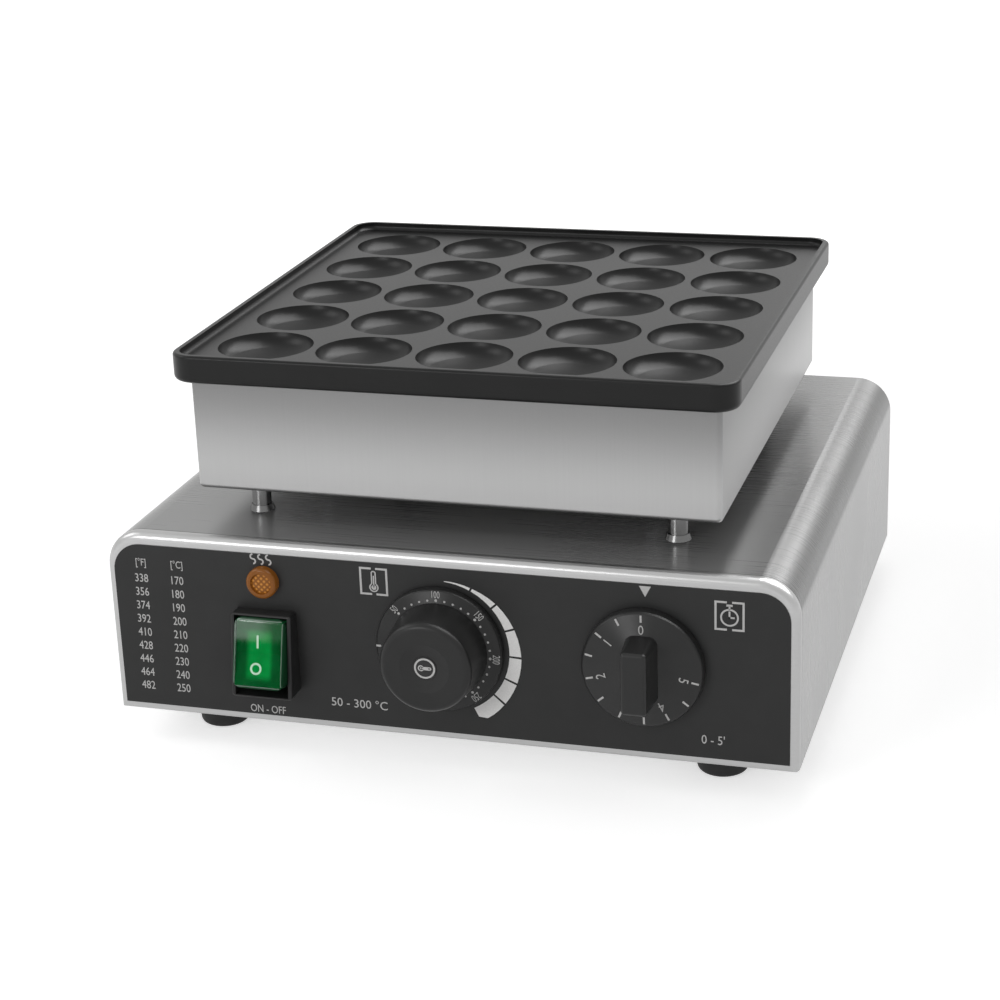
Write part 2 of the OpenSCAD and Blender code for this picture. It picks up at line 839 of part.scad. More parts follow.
// Holes for the controls, through a sheet whose front face lies at the panel's front or the film's
module control_holes(t) {
    for (x = [temperature_x, timer_x])
        on_panel(x, knob_z)
            translate([0, 0, -t - cut]) {
                cylinder(d = bush_d + 4 * thread_play, h = t + overlay_t + 2 * cut);
                for (side = [-1, 1])
                    translate([side * control_screw_spacing / 2, 0, 0])
                        cylinder(d = control_screw_d + 4 * thread_play, h = t + overlay_t + 2 * cut);
            }
    on_panel(-lamp_x, lamp_z)
        translate([0, 0, -t - cut])
            cylinder(d = lamp_d + 4 * thread_play, h = t + overlay_t + 2 * cut);
    on_panel(-switch_x, switch_z)
        translate([0, 0, -t - cut])
            linear_extrude(t + overlay_t + 2 * cut)
                square([switch_body_w + 2 * sheet_fit, switch_body_l + 2 * sheet_fit], center = true);
}

module control_overlay() {
    color([0.17, 0.17, 0.16])
        difference() {
            on_panel(0, overlay_bottom)
                linear_extrude(overlay_t)
                    arch_section(overlay_w, overlay_top - overlay_bottom, overlay_corner_r);
            control_holes(sheet_t);
            // The screw heads sit on the steel, so the film is cut clear of them
            for (x = [temperature_x, timer_x], side = [-1, 1])
                on_panel(x + side * control_screw_spacing / 2, knob_z)
                    translate([0, 0, -cut])
                        cylinder(d = control_head_d + 4 * thread_play, h = overlay_t + 2 * cut);
        }
}

module rear_panel() {
    color("lightgray")
        difference() {
            translate([0, back_y, 0])
                rotate([90, 0, 0])
                    linear_extrude(sheet_t + skirt_depth)
                        base_outline(skirt_inset);
            translate([0, back_y - sheet_t, 0])
                rotate([90, 0, 0])
                    linear_extrude(skirt_depth + cut)
                        base_outline(skirt_inset + sheet_t);
            translate([0, back_y + cut, base_z + base_h / 2])
                rotate([90, 0, 0])
                    linear_extrude(sheet_t + 2 * cut)
                        vent_row(vent_l);
            translate([-gland_x, back_y + cut, gland_z])
                rotate([90, 0, 0])
                    cylinder(d = gland_d + 2 * thread_play, h = sheet_t + 2 * cut);
        }
}

module cover_screw_places() {
    reach = base_d - 2 * foot_inset_y;
    for (side = [-1, 1], i = [0:cover_screws - 1])
        translate([
            side * (base_w / 2 - flange_w / 2 - cover_inset / 4),
            (i + 0.5 - cover_screws / 2) * reach / cover_screws,
            0
        ])
            children();
}

module foot_places() {
    at_corners(base_w / 2 - foot_inset_x, base_d / 2 - foot_inset_y)
        children();
}

module bottom_plate() {
    color("lightgray")
        difference() {
            translate([0, 0, cover_z])
                linear_extrude(sheet_t)
                    rounded_rectangle(base_w - 2 * cover_inset, base_d - 2 * cover_inset, cover_inset);
            foot_places()
                translate([0, 0, cover_z - cut])
                    cylinder(d = foot_screw_d + 2 * thread_play, h = sheet_t + 2 * cut);
            cover_screw_places()
                translate([0, 0, cover_z - cut])
                    cylinder(d = small_screw_d + 2 * thread_play, h = sheet_t + 2 * cut);
            block_screw_places()
                translate([0, 0, cover_z - cut])
                    cylinder(d = small_screw_d + 2 * thread_play, h = sheet_t + 2 * cut);
            for (row = [-1, 1])
                translate([0, row * vent_l, cover_z - cut])
                    linear_extrude(sheet_t + 2 * cut)
                        vent_row(vent_l);
        }
}

module bottom_screws() {
    color("silver")
        cover_screw_places()
            translate([0, 0, cover_z])
                headed_screw(
                    small_screw_d,
                    2 * sheet_t + small_screw_d,
                    2 * small_screw_d,
                    small_screw_d * 0.7
                );
}

module rubber_feet() {
    color([0.1, 0.1, 0.1])
        foot_places()
            difference() {
                rotate_extrude() {
                    floor_r = foot_d / 2 - foot_taper;
                    square([floor_r - foot_edge_r, foot_edge_r]);
                    translate([floor_r - foot_edge_r, foot_edge_r])
                        mirror([0, 1])
                            quarter_disc(foot_edge_r);
                    polygon([
                        [0, foot_edge_r],
                        [floor_r, foot_edge_r],
                        [foot_d / 2, foot_h],
                        [0, foot_h]
                    ]);
                }
                translate([0, 0, -cut])
                    cylinder(d = foot_screw_d + 2 * thread_play, h = foot_h + 2 * cut);
                translate([0, 0, -cut])
                    cylinder(d = 2.4 * foot_screw_d, h = foot_h - foot_web + cut);
            }
}

module foot_screws() {
    color("silver")
        foot_places()
            translate([0, 0, foot_h - foot_web])
                headed_screw(
                    foot_screw_d,
                    foot_web + sheet_t + foot_screw_d,
                    2 * foot_screw_d,
                    foot_screw_d * 0.6
                );
}

module foot_nuts() {
    color("silver")
        foot_places()
            translate([0, 0, base_z])
                hex_nut(1.75 * foot_screw_d, foot_screw_d + 2 * thread_play, 0.8 * foot_screw_d);
}

// Posts and casing

module support_posts() {
    post_foot = base_top - sheet_t - post_thread;
    color("silver")
        at_corners(post_x, post_y)
            translate([0, 0, post_foot])
                difference() {
                    union() {
                        cylinder(d = thread_d, h = floor_top + post_thread - post_foot);
                        translate([0, 0, base_top - post_foot])
                            cylinder(d = post_d, h = casing_gap);
                    }
                    translate([0, 0, -cut])
                        cylinder(d = post_bore, h = floor_top + post_thread - post_foot + 2 * cut);
                }
}

module post_collars() {
    color("gainsboro")
        at_corners(post_x, post_y)
            translate([0, 0, base_top])
                difference() {
                    cylinder(d1 = collar_d, d2 = post_d + 2 * collar_lip, h = collar_h);
                    translate([0, 0, -cut])
                        cylinder(d = post_d + 2 * thread_play, h = collar_h + 2 * cut);
                }
}

module post_nuts() {
    color("silver")
        at_corners(post_x, post_y)
            for (z = [base_top - sheet_t - post_nut_h, floor_top])
                translate([0, 0, z])
                    hex_nut(post_nut_af, thread_d + 2 * thread_play, post_nut_h);
}

module grill_casing() {
    color("lightgray")
        difference() {
            translate([0, 0, casing_z])
                rounded_slab(casing_w, casing_w, casing_h, casing_corner_r, 0, casing_edge_r);
            translate([0, 0, floor_top])
                rounded_slab(
                    casing_w - 2 * sheet_t,
                    casing_w - 2 * sheet_t,
                    casing_h,
                    casing_corner_r - sheet_t,
                    0,
                    casing_edge_r - sheet_t
                );
            at_corners(post_x, post_y)
                translate([0, 0, casing_z - cut])
                    cylinder(d = thread_d + 2 * thread_play, h = sheet_t + 2 * cut);
            at_corners(boss_x, boss_y)
                translate([0, 0, casing_z - cut])
                    cylinder(d = stud_d + 2 * thread_play, h = sheet_t + 2 * cut);
        }
}

module insulation_pad() {
    color([0.9, 0.87, 0.75])
        difference() {
            translate([-pad_w / 2, -pad_l / 2, floor_top])
                cube([pad_w, pad_l, pad_top - floor_top]);
            at_corners(boss_x, boss_y)
                translate([0, 0, floor_top - cut])
                    cylinder(d = stud_d + 2 * pad_air, h = pad_top - floor_top + 2 * cut);
        }
}

// Baking plate

module cup_cutter() {
    rotate_extrude() {
        intersection() {
            translate([0, cup_ball_z])
                circle(cup_ball_r);
            translate([0, knuckle_z - 2 * cup_depth])
                square([cup_floor_r, 2 * cup_depth]);
        }
        intersection() {
            translate([knuckle_x, knuckle_z])
                circle(knuckle_r);
            translate([cup_floor_r, knuckle_z - 2 * cup_depth])
                square([cup_d, 2 * cup_depth]);
        }
    }
}

module baking_plate() {
    color([0.22, 0.22, 0.23])
        difference() {
            union() {
                translate([0, 0, plate_z])
                    rounded_slab(plate_w, plate_w, rim_h, rim_corner_r, rim_top_r, rim_bottom_r);
                translate([0, 0, core_z])
                    linear_extrude(plate_z - core_z + rim_bottom_r)
                        rounded_rectangle(core_w, core_w, core_corner_r);
                at_corners(boss_x, boss_y)
                    translate([0, 0, clamp_z + clamp_t])
                        cylinder(d = boss_d, h = core_z - clamp_z - clamp_t + cut);
            }
            translate([0, 0, tray_z])
                rounded_slab(tray_w, tray_w, rim_h, rim_corner_r - rim_w, 0, tray_fillet_r);
            for (i = [0:cups - 1], j = [0:cups - 1])
                translate([i * cup_pitch - cup_span / 2, j * cup_pitch - cup_span / 2, tray_z])
                    cup_cutter();
            at_corners(boss_x, boss_y)
                translate([0, 0, clamp_z + clamp_t - cut])
                    cylinder(
                        d = stud_d + 2 * thread_play,
                        h = core_z + stud_grip - clamp_z - clamp_t + cut
                    );
        }
}

module plate_studs() {
    color("silver")
        at_corners(boss_x, boss_y)
            translate([0, 0, casing_z - stud_tail])
                cylinder(d = stud_d, h = core_z + stud_grip - casing_z + stud_tail);
}

module casing_nuts() {
    color("silver")
        at_corners(boss_x, boss_y)
            translate([0, 0, casing_z - stud_nut_h])
                hex_nut(stud_nut_af, stud_d + 2 * thread_play, stud_nut_h);
}

// Heating

module clamp_plate() {
    color("lightgray")
        difference() {
            translate([-clamp_w / 2, -clamp_l / 2, clamp_z])
                cube([clamp_w, clamp_l, clamp_t]);
            at_corners(boss_x, boss_y)
                translate([0, 0, clamp_z - cut])
                    cylinder(d = stud_d + 2 * thread_play, h = clamp_t + 2 * cut);
            // Window for the bulb's clip
            translate([bulb_x - clip_span / 2 - pad_air, -clip_w / 2 - pad_air, clamp_z - cut])
                cube([clip_span + 2 * pad_air, clip_w + 2 * pad_air, clamp_t + 2 * cut]);
        }
}

module clamp_nuts() {
    color("silver")
        at_corners(boss_x, boss_y)
            translate([0, 0, clamp_z - stud_nut_h])
                hex_nut(stud_nut_af, stud_d + 2 * thread_play, stud_nut_h);
}

// The element runs to the front and back again, and ends at the back on both sides
module heating_element() {
    turns = [
        for (i = [0:element_runs - 1], last = [0, 1])
            let (to_front = (i + last) % 2 == 1)
                [i * run_pitch - post_x, (to_front ? -1 : 1) * (element_reach + run_pitch / 2), element_z]
    ];
    ends = [for (side = [-1, 1]) [side * post_x, element_end_y, element_z]];
    color("dimgray")
        bent_rod(
            concat([ends[0]], [for (i = [1:len(turns) - 2]) turns[i]], [ends[1]]),
            element_d,
            run_bend_r
        );
}

module element_terminals() {
    color("ivory")
        for (side = [-1, 1])
            translate([side * post_x, element_end_y, element_z])
                rotate([-90, 0, 0]) {
                    cylinder(d = element_d - 1, h = bead_l);
                    cylinder(d = pin_d, h = bead_l + pin_l);
                }
}

// Each lead leaves its pin, turns down through a rear post and runs forward to the controls
module element_leads() {
    timer_back = front_y + sheet_t + timer_depth;
    right_z = knob_z + timer_w / 4;
    left_z = switch_z + spade_pitch_z / 2;
    spade_x = -switch_x - spade_pitch_x / 2;
    color("firebrick") {
        wire(
            [
                [post_x, pin_end_y, element_z],
                [post_x, post_y, element_z],
                [post_x, post_y, right_z],
                [post_x, timer_back + timer_depth, right_z],
                [timer_x, timer_back + wire_bend_r, right_z],
                [timer_x, timer_back, right_z]
            ]
        );
        wire(
            [
                [-post_x, pin_end_y, element_z],
                [-post_x, post_y, element_z],
                [-post_x, post_y, left_z],
                [-post_x, 0, left_z],
                [spade_x, spade_end_y + 3 * wire_bend_r, left_z],
                [spade_x, spade_end_y, left_z]
            ]
        );
    }
}

module thermostat_bulb() {
    color("peru")
        translate([bulb_x, -bulb_l / 2, core_z - contact_play - bulb_d / 2])
            rotate([-90, 0, 0])
                cylinder(d = bulb_d, h = bulb_l);
}

// Strap round the bulb, against the underside of the plate
module bulb_clip() {
    color("silver")
        translate([bulb_x, clip_w / 2, core_z - contact_play])
            rotate([90, 0, 0])
                linear_extrude(clip_w)
                    difference() {
                        translate([0, -bulb_d / 2 - clip_t / 2])
                            square([clip_span, bulb_d + clip_t], center = true);
                        translate([0, -bulb_d / 2]) {
                            circle(d = bulb_d + 2 * contact_play);
                            translate([-bulb_d / 2 - contact_play, 0])
                                square([bulb_d + 2 * contact_play, bulb_d]);
                        }
                    }
}

module capillary_tube() {
    bulb_z = core_z - contact_play - bulb_d / 2;
    crossing_z = (clamp_z + floor_top + post_thread) / 2;
    low_z = knob_z + thermostat_size / 3;
    bend_r = 2.5 * capillary_d;
    behind_y = thermostat_back + 2 * bend_r;
    turn_y = behind_y > -post_y ? max(behind_y, 3 * bend_r - post_y) : -post_y;
    color("peru")
        bent_rod(
            [
                [bulb_x, -bulb_l / 2, bulb_z],
                [bulb_x, -post_y, bulb_z],
                [bulb_x, -post_y, crossing_z],
                [-post_x, -post_y, crossing_z],
                [-post_x, -post_y, low_z],
                if (turn_y > -post_y) [-post_x, turn_y, low_z],
                [temperature_x, turn_y, low_z],
                [temperature_x, thermostat_back, low_z]
            ],
            capillary_d,
            bend_r
        );
}

// Thermostat and temperature knob

// Body of a mechanism behind the panel, with its threaded bush in the panel's hole
module mechanism(w, l, depth, bore) {
    difference() {
        union() {
            translate([0, 0, -sheet_t - depth])
                rounded_slab(w, l, depth, bush_d / 4, 0, bush_d / 8);
            translate([0, 0, -sheet_t - cut])
                cylinder(d = bush_d, h = sheet_t + bush_front + cut);
        }
        translate([0, 0, -sheet_t - shaft_in_body])
            cylinder(d = bore, h = 2 * shaft_in_body + bush_front);
        for (side = [-1, 1])
            translate([side * control_screw_spacing / 2, 0, -sheet_t - shaft_in_body])
                cylinder(d = control_screw_d + 2 * thread_play, h = 2 * shaft_in_body);
    }
}

// Shaft with a flat on the stretch that the knob grips
module control_shaft() {
    difference() {
        translate([0, 0, thread_play - sheet_t - shaft_in_body])
            cylinder(
                d = shaft_d,
                h = sheet_t + shaft_in_body + knob_back + shaft_in_knob - 2 * thread_play
            );
        translate([-shaft_d, shaft_d / 2 - shaft_flat, knob_back])
            cube([2 * shaft_d, shaft_d, 2 * shaft_in_knob]);
    }
}

// Blind hole in a knob that takes the shaft and its flat
module shaft_socket() {
    difference() {
        translate([0, 0, knob_back - cut])
            cylinder(d = shaft_d + 2 * shaft_play, h = shaft_in_knob + cut);
        translate([-shaft_d, shaft_d / 2 - shaft_flat + shaft_play, knob_back])
            cube([2 * shaft_d, shaft_d, 2 * shaft_in_knob]);
    }
}

// Ring-shaped recess behind a knob, which clears the screw heads on the panel
module screw_recess(depth) {
    translate([0, 0, knob_back - cut])
        ring(2 * pocket_out, 2 * pocket_in, depth + cut);
}

module thermostat_body() {
    color("gray")
        on_panel(temperature_x, knob_z)
            mechanism(thermostat_size, thermostat_size, thermostat_depth, shaft_d + 2 * shaft_play);
}

module thermostat_shaft() {
    color("silver")
        on_panel(temperature_x, knob_z)
            control_shaft();
}

module temperature_knob() {
    barrel_z = knob_back + dial_t;
    edge_z = knob_front - knob_edge_r;
    edge_x = knob_front_d / 2 - knob_edge_r;
    hollow_d = knob_front_d - 2 * knob_wall;
    hollow_h = dial_t + knob_h - knob_wall - dish_depth - cap_seat;
    color([0.16, 0.16, 0.16])
        on_panel(temperature_x, knob_z)
            difference() {
                rotate_extrude() {
                    translate([0, knob_back])
                        slab_edge(dial_d / 2, dial_t, dial_t / 4, 0);
                    polygon([
                        [0, barrel_z],
                        [knob_foot_d / 2, barrel_z],
                        [knob_front_d / 2, edge_z],
                        [0, edge_z]
                    ]);
                    translate([0, edge_z])
                        square([edge_x, knob_edge_r]);
                    translate([edge_x, edge_z])
                        quarter_disc(knob_edge_r);
                }
                translate([0, 0, knob_front + dish_ball_r - dish_depth])
                    sphere(dish_ball_r);
                translate([0, 0, cap_z])
                    cylinder(d = cap_d + 2 * thread_play, h = dish_depth + cap_seat + cut);
                // Hollow moulding with ribs that stop short of the screw heads
                difference() {
                    translate([0, 0, knob_back - cut])
                        ring(hollow_d, hub_d, hollow_h + cut);
                    for (i = [0:knob_ribs - 1])
                        rotate(360 * i / knob_ribs)
                            translate([0, -rib_t / 2, knob_back + pocket_depth + rib_setback])
                                cube([hollow_d, rib_t, hollow_h]);
                }
                screw_recess(pocket_depth);
                shaft_socket();
            }
}

module knob_cap() {
    color("gray")
        on_panel(temperature_x, knob_z)
            translate([0, 0, cap_z])
                rotate_extrude()
                    slab_edge(cap_d / 2, cap_seat + cap_h, cap_h / 2, 0);
}

// Timer and its knob

module timer_body() {
    color("gray")
        on_panel(timer_x, knob_z)
            mechanism(timer_w, timer_w, timer_depth, shaft_d + 2 * shaft_play);
}

module timer_shaft() {
    color("silver")
        on_panel(timer_x, knob_z)
            control_shaft();
}

module timer_knob() {
    disc_front = knob_back + disc_t;
    grip_front = disc_front + grip_h;
    foot_x = grip_w / 2 - grip_corner_r;
    foot_y = grip_l / 2 - grip_corner_r;
    face_x = grip_w / 2 - grip_draft - grip_edge_r;
    face_y = grip_l / 2 - grip_draft - grip_edge_r;
    color([0.16, 0.16, 0.16])
        on_panel(timer_x, knob_z)
            difference() {
                union() {
                    translate([0, 0, knob_back])
                        rotate_extrude()
                            slab_edge(disc_d / 2, disc_t, disc_edge_r, 0);
                    hull() {
                        translate([0, 0, disc_front - cut])
                            at_corners(foot_x, foot_y)
                                cylinder(r = grip_corner_r, h = cut, $fn = hull_fn);
                        translate([0, 0, grip_front - grip_edge_r])
                            at_corners(face_x, face_y)
                                sphere(r = grip_edge_r, $fn = hull_fn);
                    }
                }
                screw_recess(pocket_depth);
                shaft_socket();
            }
}

module control_screws() {
    color("silver")
        for (x = [temperature_x, timer_x], side = [-1, 1])
            on_panel(x + side * control_screw_spacing / 2, knob_z)
                rotate([180, 0, 0])
                    headed_screw(
                        control_screw_d,
                        sheet_t + shaft_in_body / 2,
                        control_head_d,
                        control_head_h
                    );
}

// Rocker switch

module spade_places() {
    for (x = [-0.5, 0.5], y = [-0.5, 0.5])
        translate([x * spade_pitch_x, y * spade_pitch_z, 0])
            children();
}

// Upright walls with a sloping front
module bezel_form() {
    slope = tan(bezel_lean);
    intersection() {
        multmatrix([[1, 0, 0, 0], [0, 1, 0, 0], [0, -slope, 1, 0]])
            translate([0, 0, -bezel_h])
                rounded_slab(bezel_w, bezel_l, 2 * bezel_h, bezel_r, bezel_r / 2, 0);
        translate([-bezel_w, -bezel_l, 0])
            cube([2 * bezel_w, 2 * bezel_l, 3 * bezel_h]);
    }
}

module switch_housing() {
    color([0.08, 0.08, 0.08])
        on_panel(-switch_x, switch_z)
            difference() {
                union() {
                    translate([0, 0, overlay_t])
                        bezel_form();
                    translate([0, 0, -switch_back])
                        linear_extrude(switch_back + overlay_t + cut)
                            square([switch_body_w, switch_body_l], center = true);
                }
                translate([0, 0, overlay_t])
                    linear_extrude(2 * bezel_h)
                        square([mouth_w, mouth_l], center = true);
                translate([0, 0, switch_wall - switch_back])
                    linear_extrude(switch_back - switch_wall + overlay_t + cut)
                        square([mouth_w, switch_body_l - 2 * switch_wall], center = true);
                translate([-mouth_w / 2 - pivot_depth - pivot_play, 0, pivot_z])
                    rotate([0, 90, 0])
                        cylinder(
                            d = pivot_d + 2 * pivot_play,
                            h = mouth_w + 2 * pivot_depth + 2 * pivot_play
                        );
                spade_places()
                    translate([0, 0, -switch_back - cut])
                        linear_extrude(switch_wall + 2 * cut)
                            square([spade_w + 2 * thread_play, spade_t + 2 * thread_play], center = true);
            }
}

module switch_terminals() {
    color("goldenrod")
        on_panel(-switch_x, switch_z)
            spade_places()
                translate([0, 0, -switch_back - spade_l])
                    linear_extrude(spade_l + 3 * switch_wall)
                        square([spade_w, spade_t], center = true);
}

// The rocker is stored switched on, with its upper end pressed in
module at_rocker() {
    on_panel(-switch_x, switch_z)
        translate([0, 0, pivot_z])
            rotate([-rocker_tilt, 0, 0])
                children();
}

module rocker() {
    half = rocker_l / 2;
    color([0.05, 0.55, 0.25])
        at_rocker() {
            rotate([90, 0, 90])
                translate([0, 0, -rocker_w / 2])
                    linear_extrude(rocker_w) {
                        polygon([
                            [-half, pivot_d],
                            [half, pivot_d],
                            [half, rocker_rise],
                            [0, rocker_rise - rocker_fold],
                            [-half, rocker_rise]
                        ]);
                        polygon([
                            [-half / 2, pivot_d],
                            [-pivot_d, -pivot_d],
                            [pivot_d, -pivot_d],
                            [half / 2, pivot_d]
                        ]);
                    }
            translate([-mouth_w / 2 - pivot_depth, 0, 0])
                rotate([0, 90, 0])
                    cylinder(d = pivot_d, h = mouth_w + 2 * pivot_depth);
        }
}

module rocker_boot() {
    inner_w = rocker_w + 2 * boot_gap;
    inner_l = rocker_l + 2 * boot_gap;
    boot_z = pivot_d / 2 + 2 * boot_gap;
    boot_h = rocker_rise + boot_gap + boot_t - boot_z;
    color([0.2, 0.7, 0.4, 0.4])
        at_rocker()
            translate([0, 0, boot_z])
                difference() {
                    rounded_slab(
                        inner_w + 2 * boot_t,
                        inner_l + 2 * boot_t,
                        boot_h,
                        boot_corner_r,
                        boot_edge_r,
                        0
                    );
                    translate([0, 0, -cut])
                        linear_extrude(boot_h - boot_t + cut)
                            square([inner_w, inner_l], center = true);
                }
}

// Pilot lamp

module lamp_lens() {
    face_r = lens_face_d / 2;
    ball_r = (face_r * face_r + lens_dome * lens_dome) / (2 * lens_dome);
    color([0.85, 0.5, 0.15])
        on_panel(-lamp_x, lamp_z)
            translate([0, 0, overlay_t])
                difference() {
                    rotate_extrude()
                        slab_edge(lens_d / 2, lens_h, lens_edge_r, 0);
                    translate([0, 0, lens_h - lens_sink])
                        rotate_extrude()
                            difference() {
                                square([face_r, lens_sink + cut]);
                                translate([0, lens_dome - ball_r])
                                    circle(ball_r);
                            }
                }
}

module lamp_body() {
    color([0.9, 0.88, 0.8])
        on_panel(-lamp_x, lamp_z) {
            translate([0, 0, -sheet_t - lamp_depth])
                cylinder(d = lamp_d, h = sheet_t + lamp_depth + overlay_t);
            for (side = [-1, 1])
                translate([side * lamp_d / 4, 0, -sheet_t - lamp_depth - spade_l / 2])
                    cylinder(d = wire_d / 2, h = spade_l / 2 + cut);
        }
}

module lamp_clip() {
    color("dimgray")
        on_panel(-lamp_x, lamp_z)
            translate([0, 0, -sheet_t - lamp_clip_t])
                ring(lamp_clip_d, lamp_d + 2 * thread_play, lamp_clip_t);
}

// Supply and wiring

module block_screw_places() {
    for (side = [-1, 1])
        translate([side * pole_pitch / 2 - switch_x, block_y, 0])
            children();
}

module terminal_block() {
    color("ivory")
        difference() {
            translate([-switch_x - block_w / 2, block_y - block_d / 2, base_z])
                cube([block_w, block_d, block_h]);
            for (pole = [-1:1])
                translate([pole * pole_pitch - switch_x, block_y, block_hole_z]) {
                    rotate([90, 0, 0])
                        translate([0, 0, -block_d])
                            cylinder(d = 1.6 * wire_d, h = 2 * block_d);
                    cylinder(d = 1.4 * wire_d, h = block_h);
                }
            block_screw_places()
                translate([0, 0, base_z - cut])
                    cylinder(d = small_screw_d + 2 * thread_play, h = block_h / 3 + cut);
        }
}

module block_screws() {
    color("silver")
        block_screw_places()
            translate([0, 0, cover_z])
                headed_screw(small_screw_d, sheet_t + block_h / 4, 2 * small_screw_d, small_screw_d * 0.7);
}

// Two wires from the terminal block to the lower spades of the switch
module supply_wires() {
    spade_z = switch_z - spade_pitch_z / 2;
    color("saddlebrown")
        for (side = [-1, 1])
            wire(
                [
                    [side * pole_pitch - switch_x, block_y, block_hole_z],
                    [side * pole_pitch - switch_x, block_y - 2 * block_d, block_hole_z],
                    [side * spade_pitch_x / 2 - switch_x, spade_end_y + 4 * wire_bend_r, spade_z],
                    [side * spade_pitch_x / 2 - switch_x, spade_end_y, spade_z]
                ]
            );
}

// One wire from the switch to the thermostat, and one from there to the timer
module control_wires() {
    loop_y = spade_end_y + 3 * wire_bend_r;
    wire_z = switch_z + spade_pitch_z / 2;
    timer_back = front_y + sheet_t + timer_depth;
    feed_x = thermostat_size / 4;
    color("black") {
        wire(
            [
                [spade_pitch_x / 2 - switch_x, spade_end_y, wire_z],
                [spade_pitch_x / 2 - switch_x, loop_y, wire_z],
                [temperature_x - feed_x, loop_y, wire_z],
                [temperature_x - feed_x, thermostat_back, wire_z]
            ]
        );
        wire(
            [
                [temperature_x + feed_x, thermostat_back, wire_z],
                [temperature_x + feed_x, loop_y, wire_z],
                [timer_x - timer_w / 4, loop_y, wire_z],
                [timer_x - timer_w / 4, timer_back, wire_z]
            ]
        );
    }
}

// One wire from the lamp to the thermostat, and one to the top of the terminal block
module lamp_wires() {
    lamp_end_y = front_y + sheet_t + lamp_depth + spade_l / 2;
    far_y = spade_end_y + 2 * wire_bend_r;
    entry_x = temperature_x - thermostat_size / 3;
    entry_z = knob_z + thermostat_size / 6;
    color("white") {
        wire(
            [
                [lamp_d / 4 - lamp_x, lamp_end_y, lamp_z],
                [lamp_d / 4 - lamp_x, far_y, lamp_z],
                [entry_x - 2 * wire_bend_r, far_y + wire_bend_r, entry_z],
                [entry_x, far_y, entry_z],
                [entry_x, thermostat_back, entry_z]
            ]
        );
        wire(
            [
                [-lamp_d / 4 - lamp_x, lamp_end_y, lamp_z],
                [-lamp_d / 4 - lamp_x, lamp_end_y + 3 * wire_bend_r, lamp_z],
                [-lamp_x, block_y - block_d, lamp_z],
                [-lamp_x, block_y, lamp_z],
                [-lamp_x, block_y, block_hole_z]
            ]
        );
    }
}

module cable_gland() {
    flange = gland_l / 4;
    color([0.12, 0.12, 0.12])
        translate([-gland_x, back_y, gland_z])
            rotate([-90, 0, 0])
                difference() {
                    union() {
                        translate([0, 0, -sheet_t - gland_thread])
                            cylinder(d = gland_d, h = sheet_t + gland_thread + cut);
                        cylinder(d = gland_af / cos(30), h = flange, $fn = 6);
                        translate([0, 0, flange])
                            rotate_extrude()
                                slab_edge(gland_af / 2, gland_l - flange, gland_af / 5, 0);
                    }
                    translate([0, 0, -sheet_t - gland_thread - cut])
                        cylinder(d = gland_bore, h = gland_l + sheet_t + gland_thread + 2 * cut);
                }
}

module gland_nut() {
    color([0.12, 0.12, 0.12])
        translate([-gland_x, back_y - sheet_t, gland_z])
            rotate([90, 0, 0])
                hex_nut(gland_af, gland_d + 2 * thread_play, gland_thread / 2);
}

in_frame() base_shell();
in_frame() front_panel();
in_frame() control_overlay();
in_frame() rear_panel();
in_frame() bottom_plate();
in_frame() bottom_screws();
in_frame() rubber_feet();
in_frame() foot_screws();
in_frame() foot_nuts();
in_frame() support_posts();
in_frame() post_collars();
in_frame() post_nuts();
in_frame() grill_casing();
in_frame() insulation_pad();
in_frame() baking_plate();
in_frame() plate_studs();
in_frame() casing_nuts();
in_frame() clamp_plate();
in_frame() clamp_nuts();
in_frame() heating_element();
in_frame() element_terminals();
in_frame() element_leads();
in_frame() thermostat_bulb();
in_frame() bulb_clip();
in_frame() capillary_tube();
in_frame() thermostat_body();
in_frame() thermostat_shaft();
in_frame() temperature_knob();
in_frame() knob_cap();
in_frame() timer_body();
in_frame() timer_shaft();
in_frame() timer_knob();
in_frame() control_screws();
in_frame() switch_housing();
in_frame() switch_terminals();
in_frame() rocker();
in_frame() rocker_boot();
in_frame() lamp_lens();
in_frame() lamp_body();
in_frame() lamp_clip();
in_frame() terminal_block();
in_frame() block_screws();
in_frame() supply_wires();
in_frame() control_wires();
in_frame() lamp_wires();
in_frame() cable_gland();
in_frame() gland_nut();
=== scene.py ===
import json
import math

import bmesh
import bpy
from mathutils import Matrix, Vector


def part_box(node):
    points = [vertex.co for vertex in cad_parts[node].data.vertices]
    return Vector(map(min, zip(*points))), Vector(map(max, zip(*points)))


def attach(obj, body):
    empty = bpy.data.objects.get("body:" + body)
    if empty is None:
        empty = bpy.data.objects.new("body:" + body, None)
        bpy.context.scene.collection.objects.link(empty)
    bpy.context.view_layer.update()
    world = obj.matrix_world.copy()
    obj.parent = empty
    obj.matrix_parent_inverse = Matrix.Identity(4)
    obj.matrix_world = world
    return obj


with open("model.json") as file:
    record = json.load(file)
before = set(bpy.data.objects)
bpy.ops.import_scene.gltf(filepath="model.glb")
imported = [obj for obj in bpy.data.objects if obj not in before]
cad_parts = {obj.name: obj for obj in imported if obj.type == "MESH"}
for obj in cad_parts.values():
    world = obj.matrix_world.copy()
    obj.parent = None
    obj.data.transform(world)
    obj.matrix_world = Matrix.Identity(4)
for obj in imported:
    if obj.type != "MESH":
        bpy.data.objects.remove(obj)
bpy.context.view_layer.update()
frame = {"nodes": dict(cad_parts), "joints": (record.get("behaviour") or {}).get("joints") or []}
nodes = frame["nodes"]

MM = 0.001

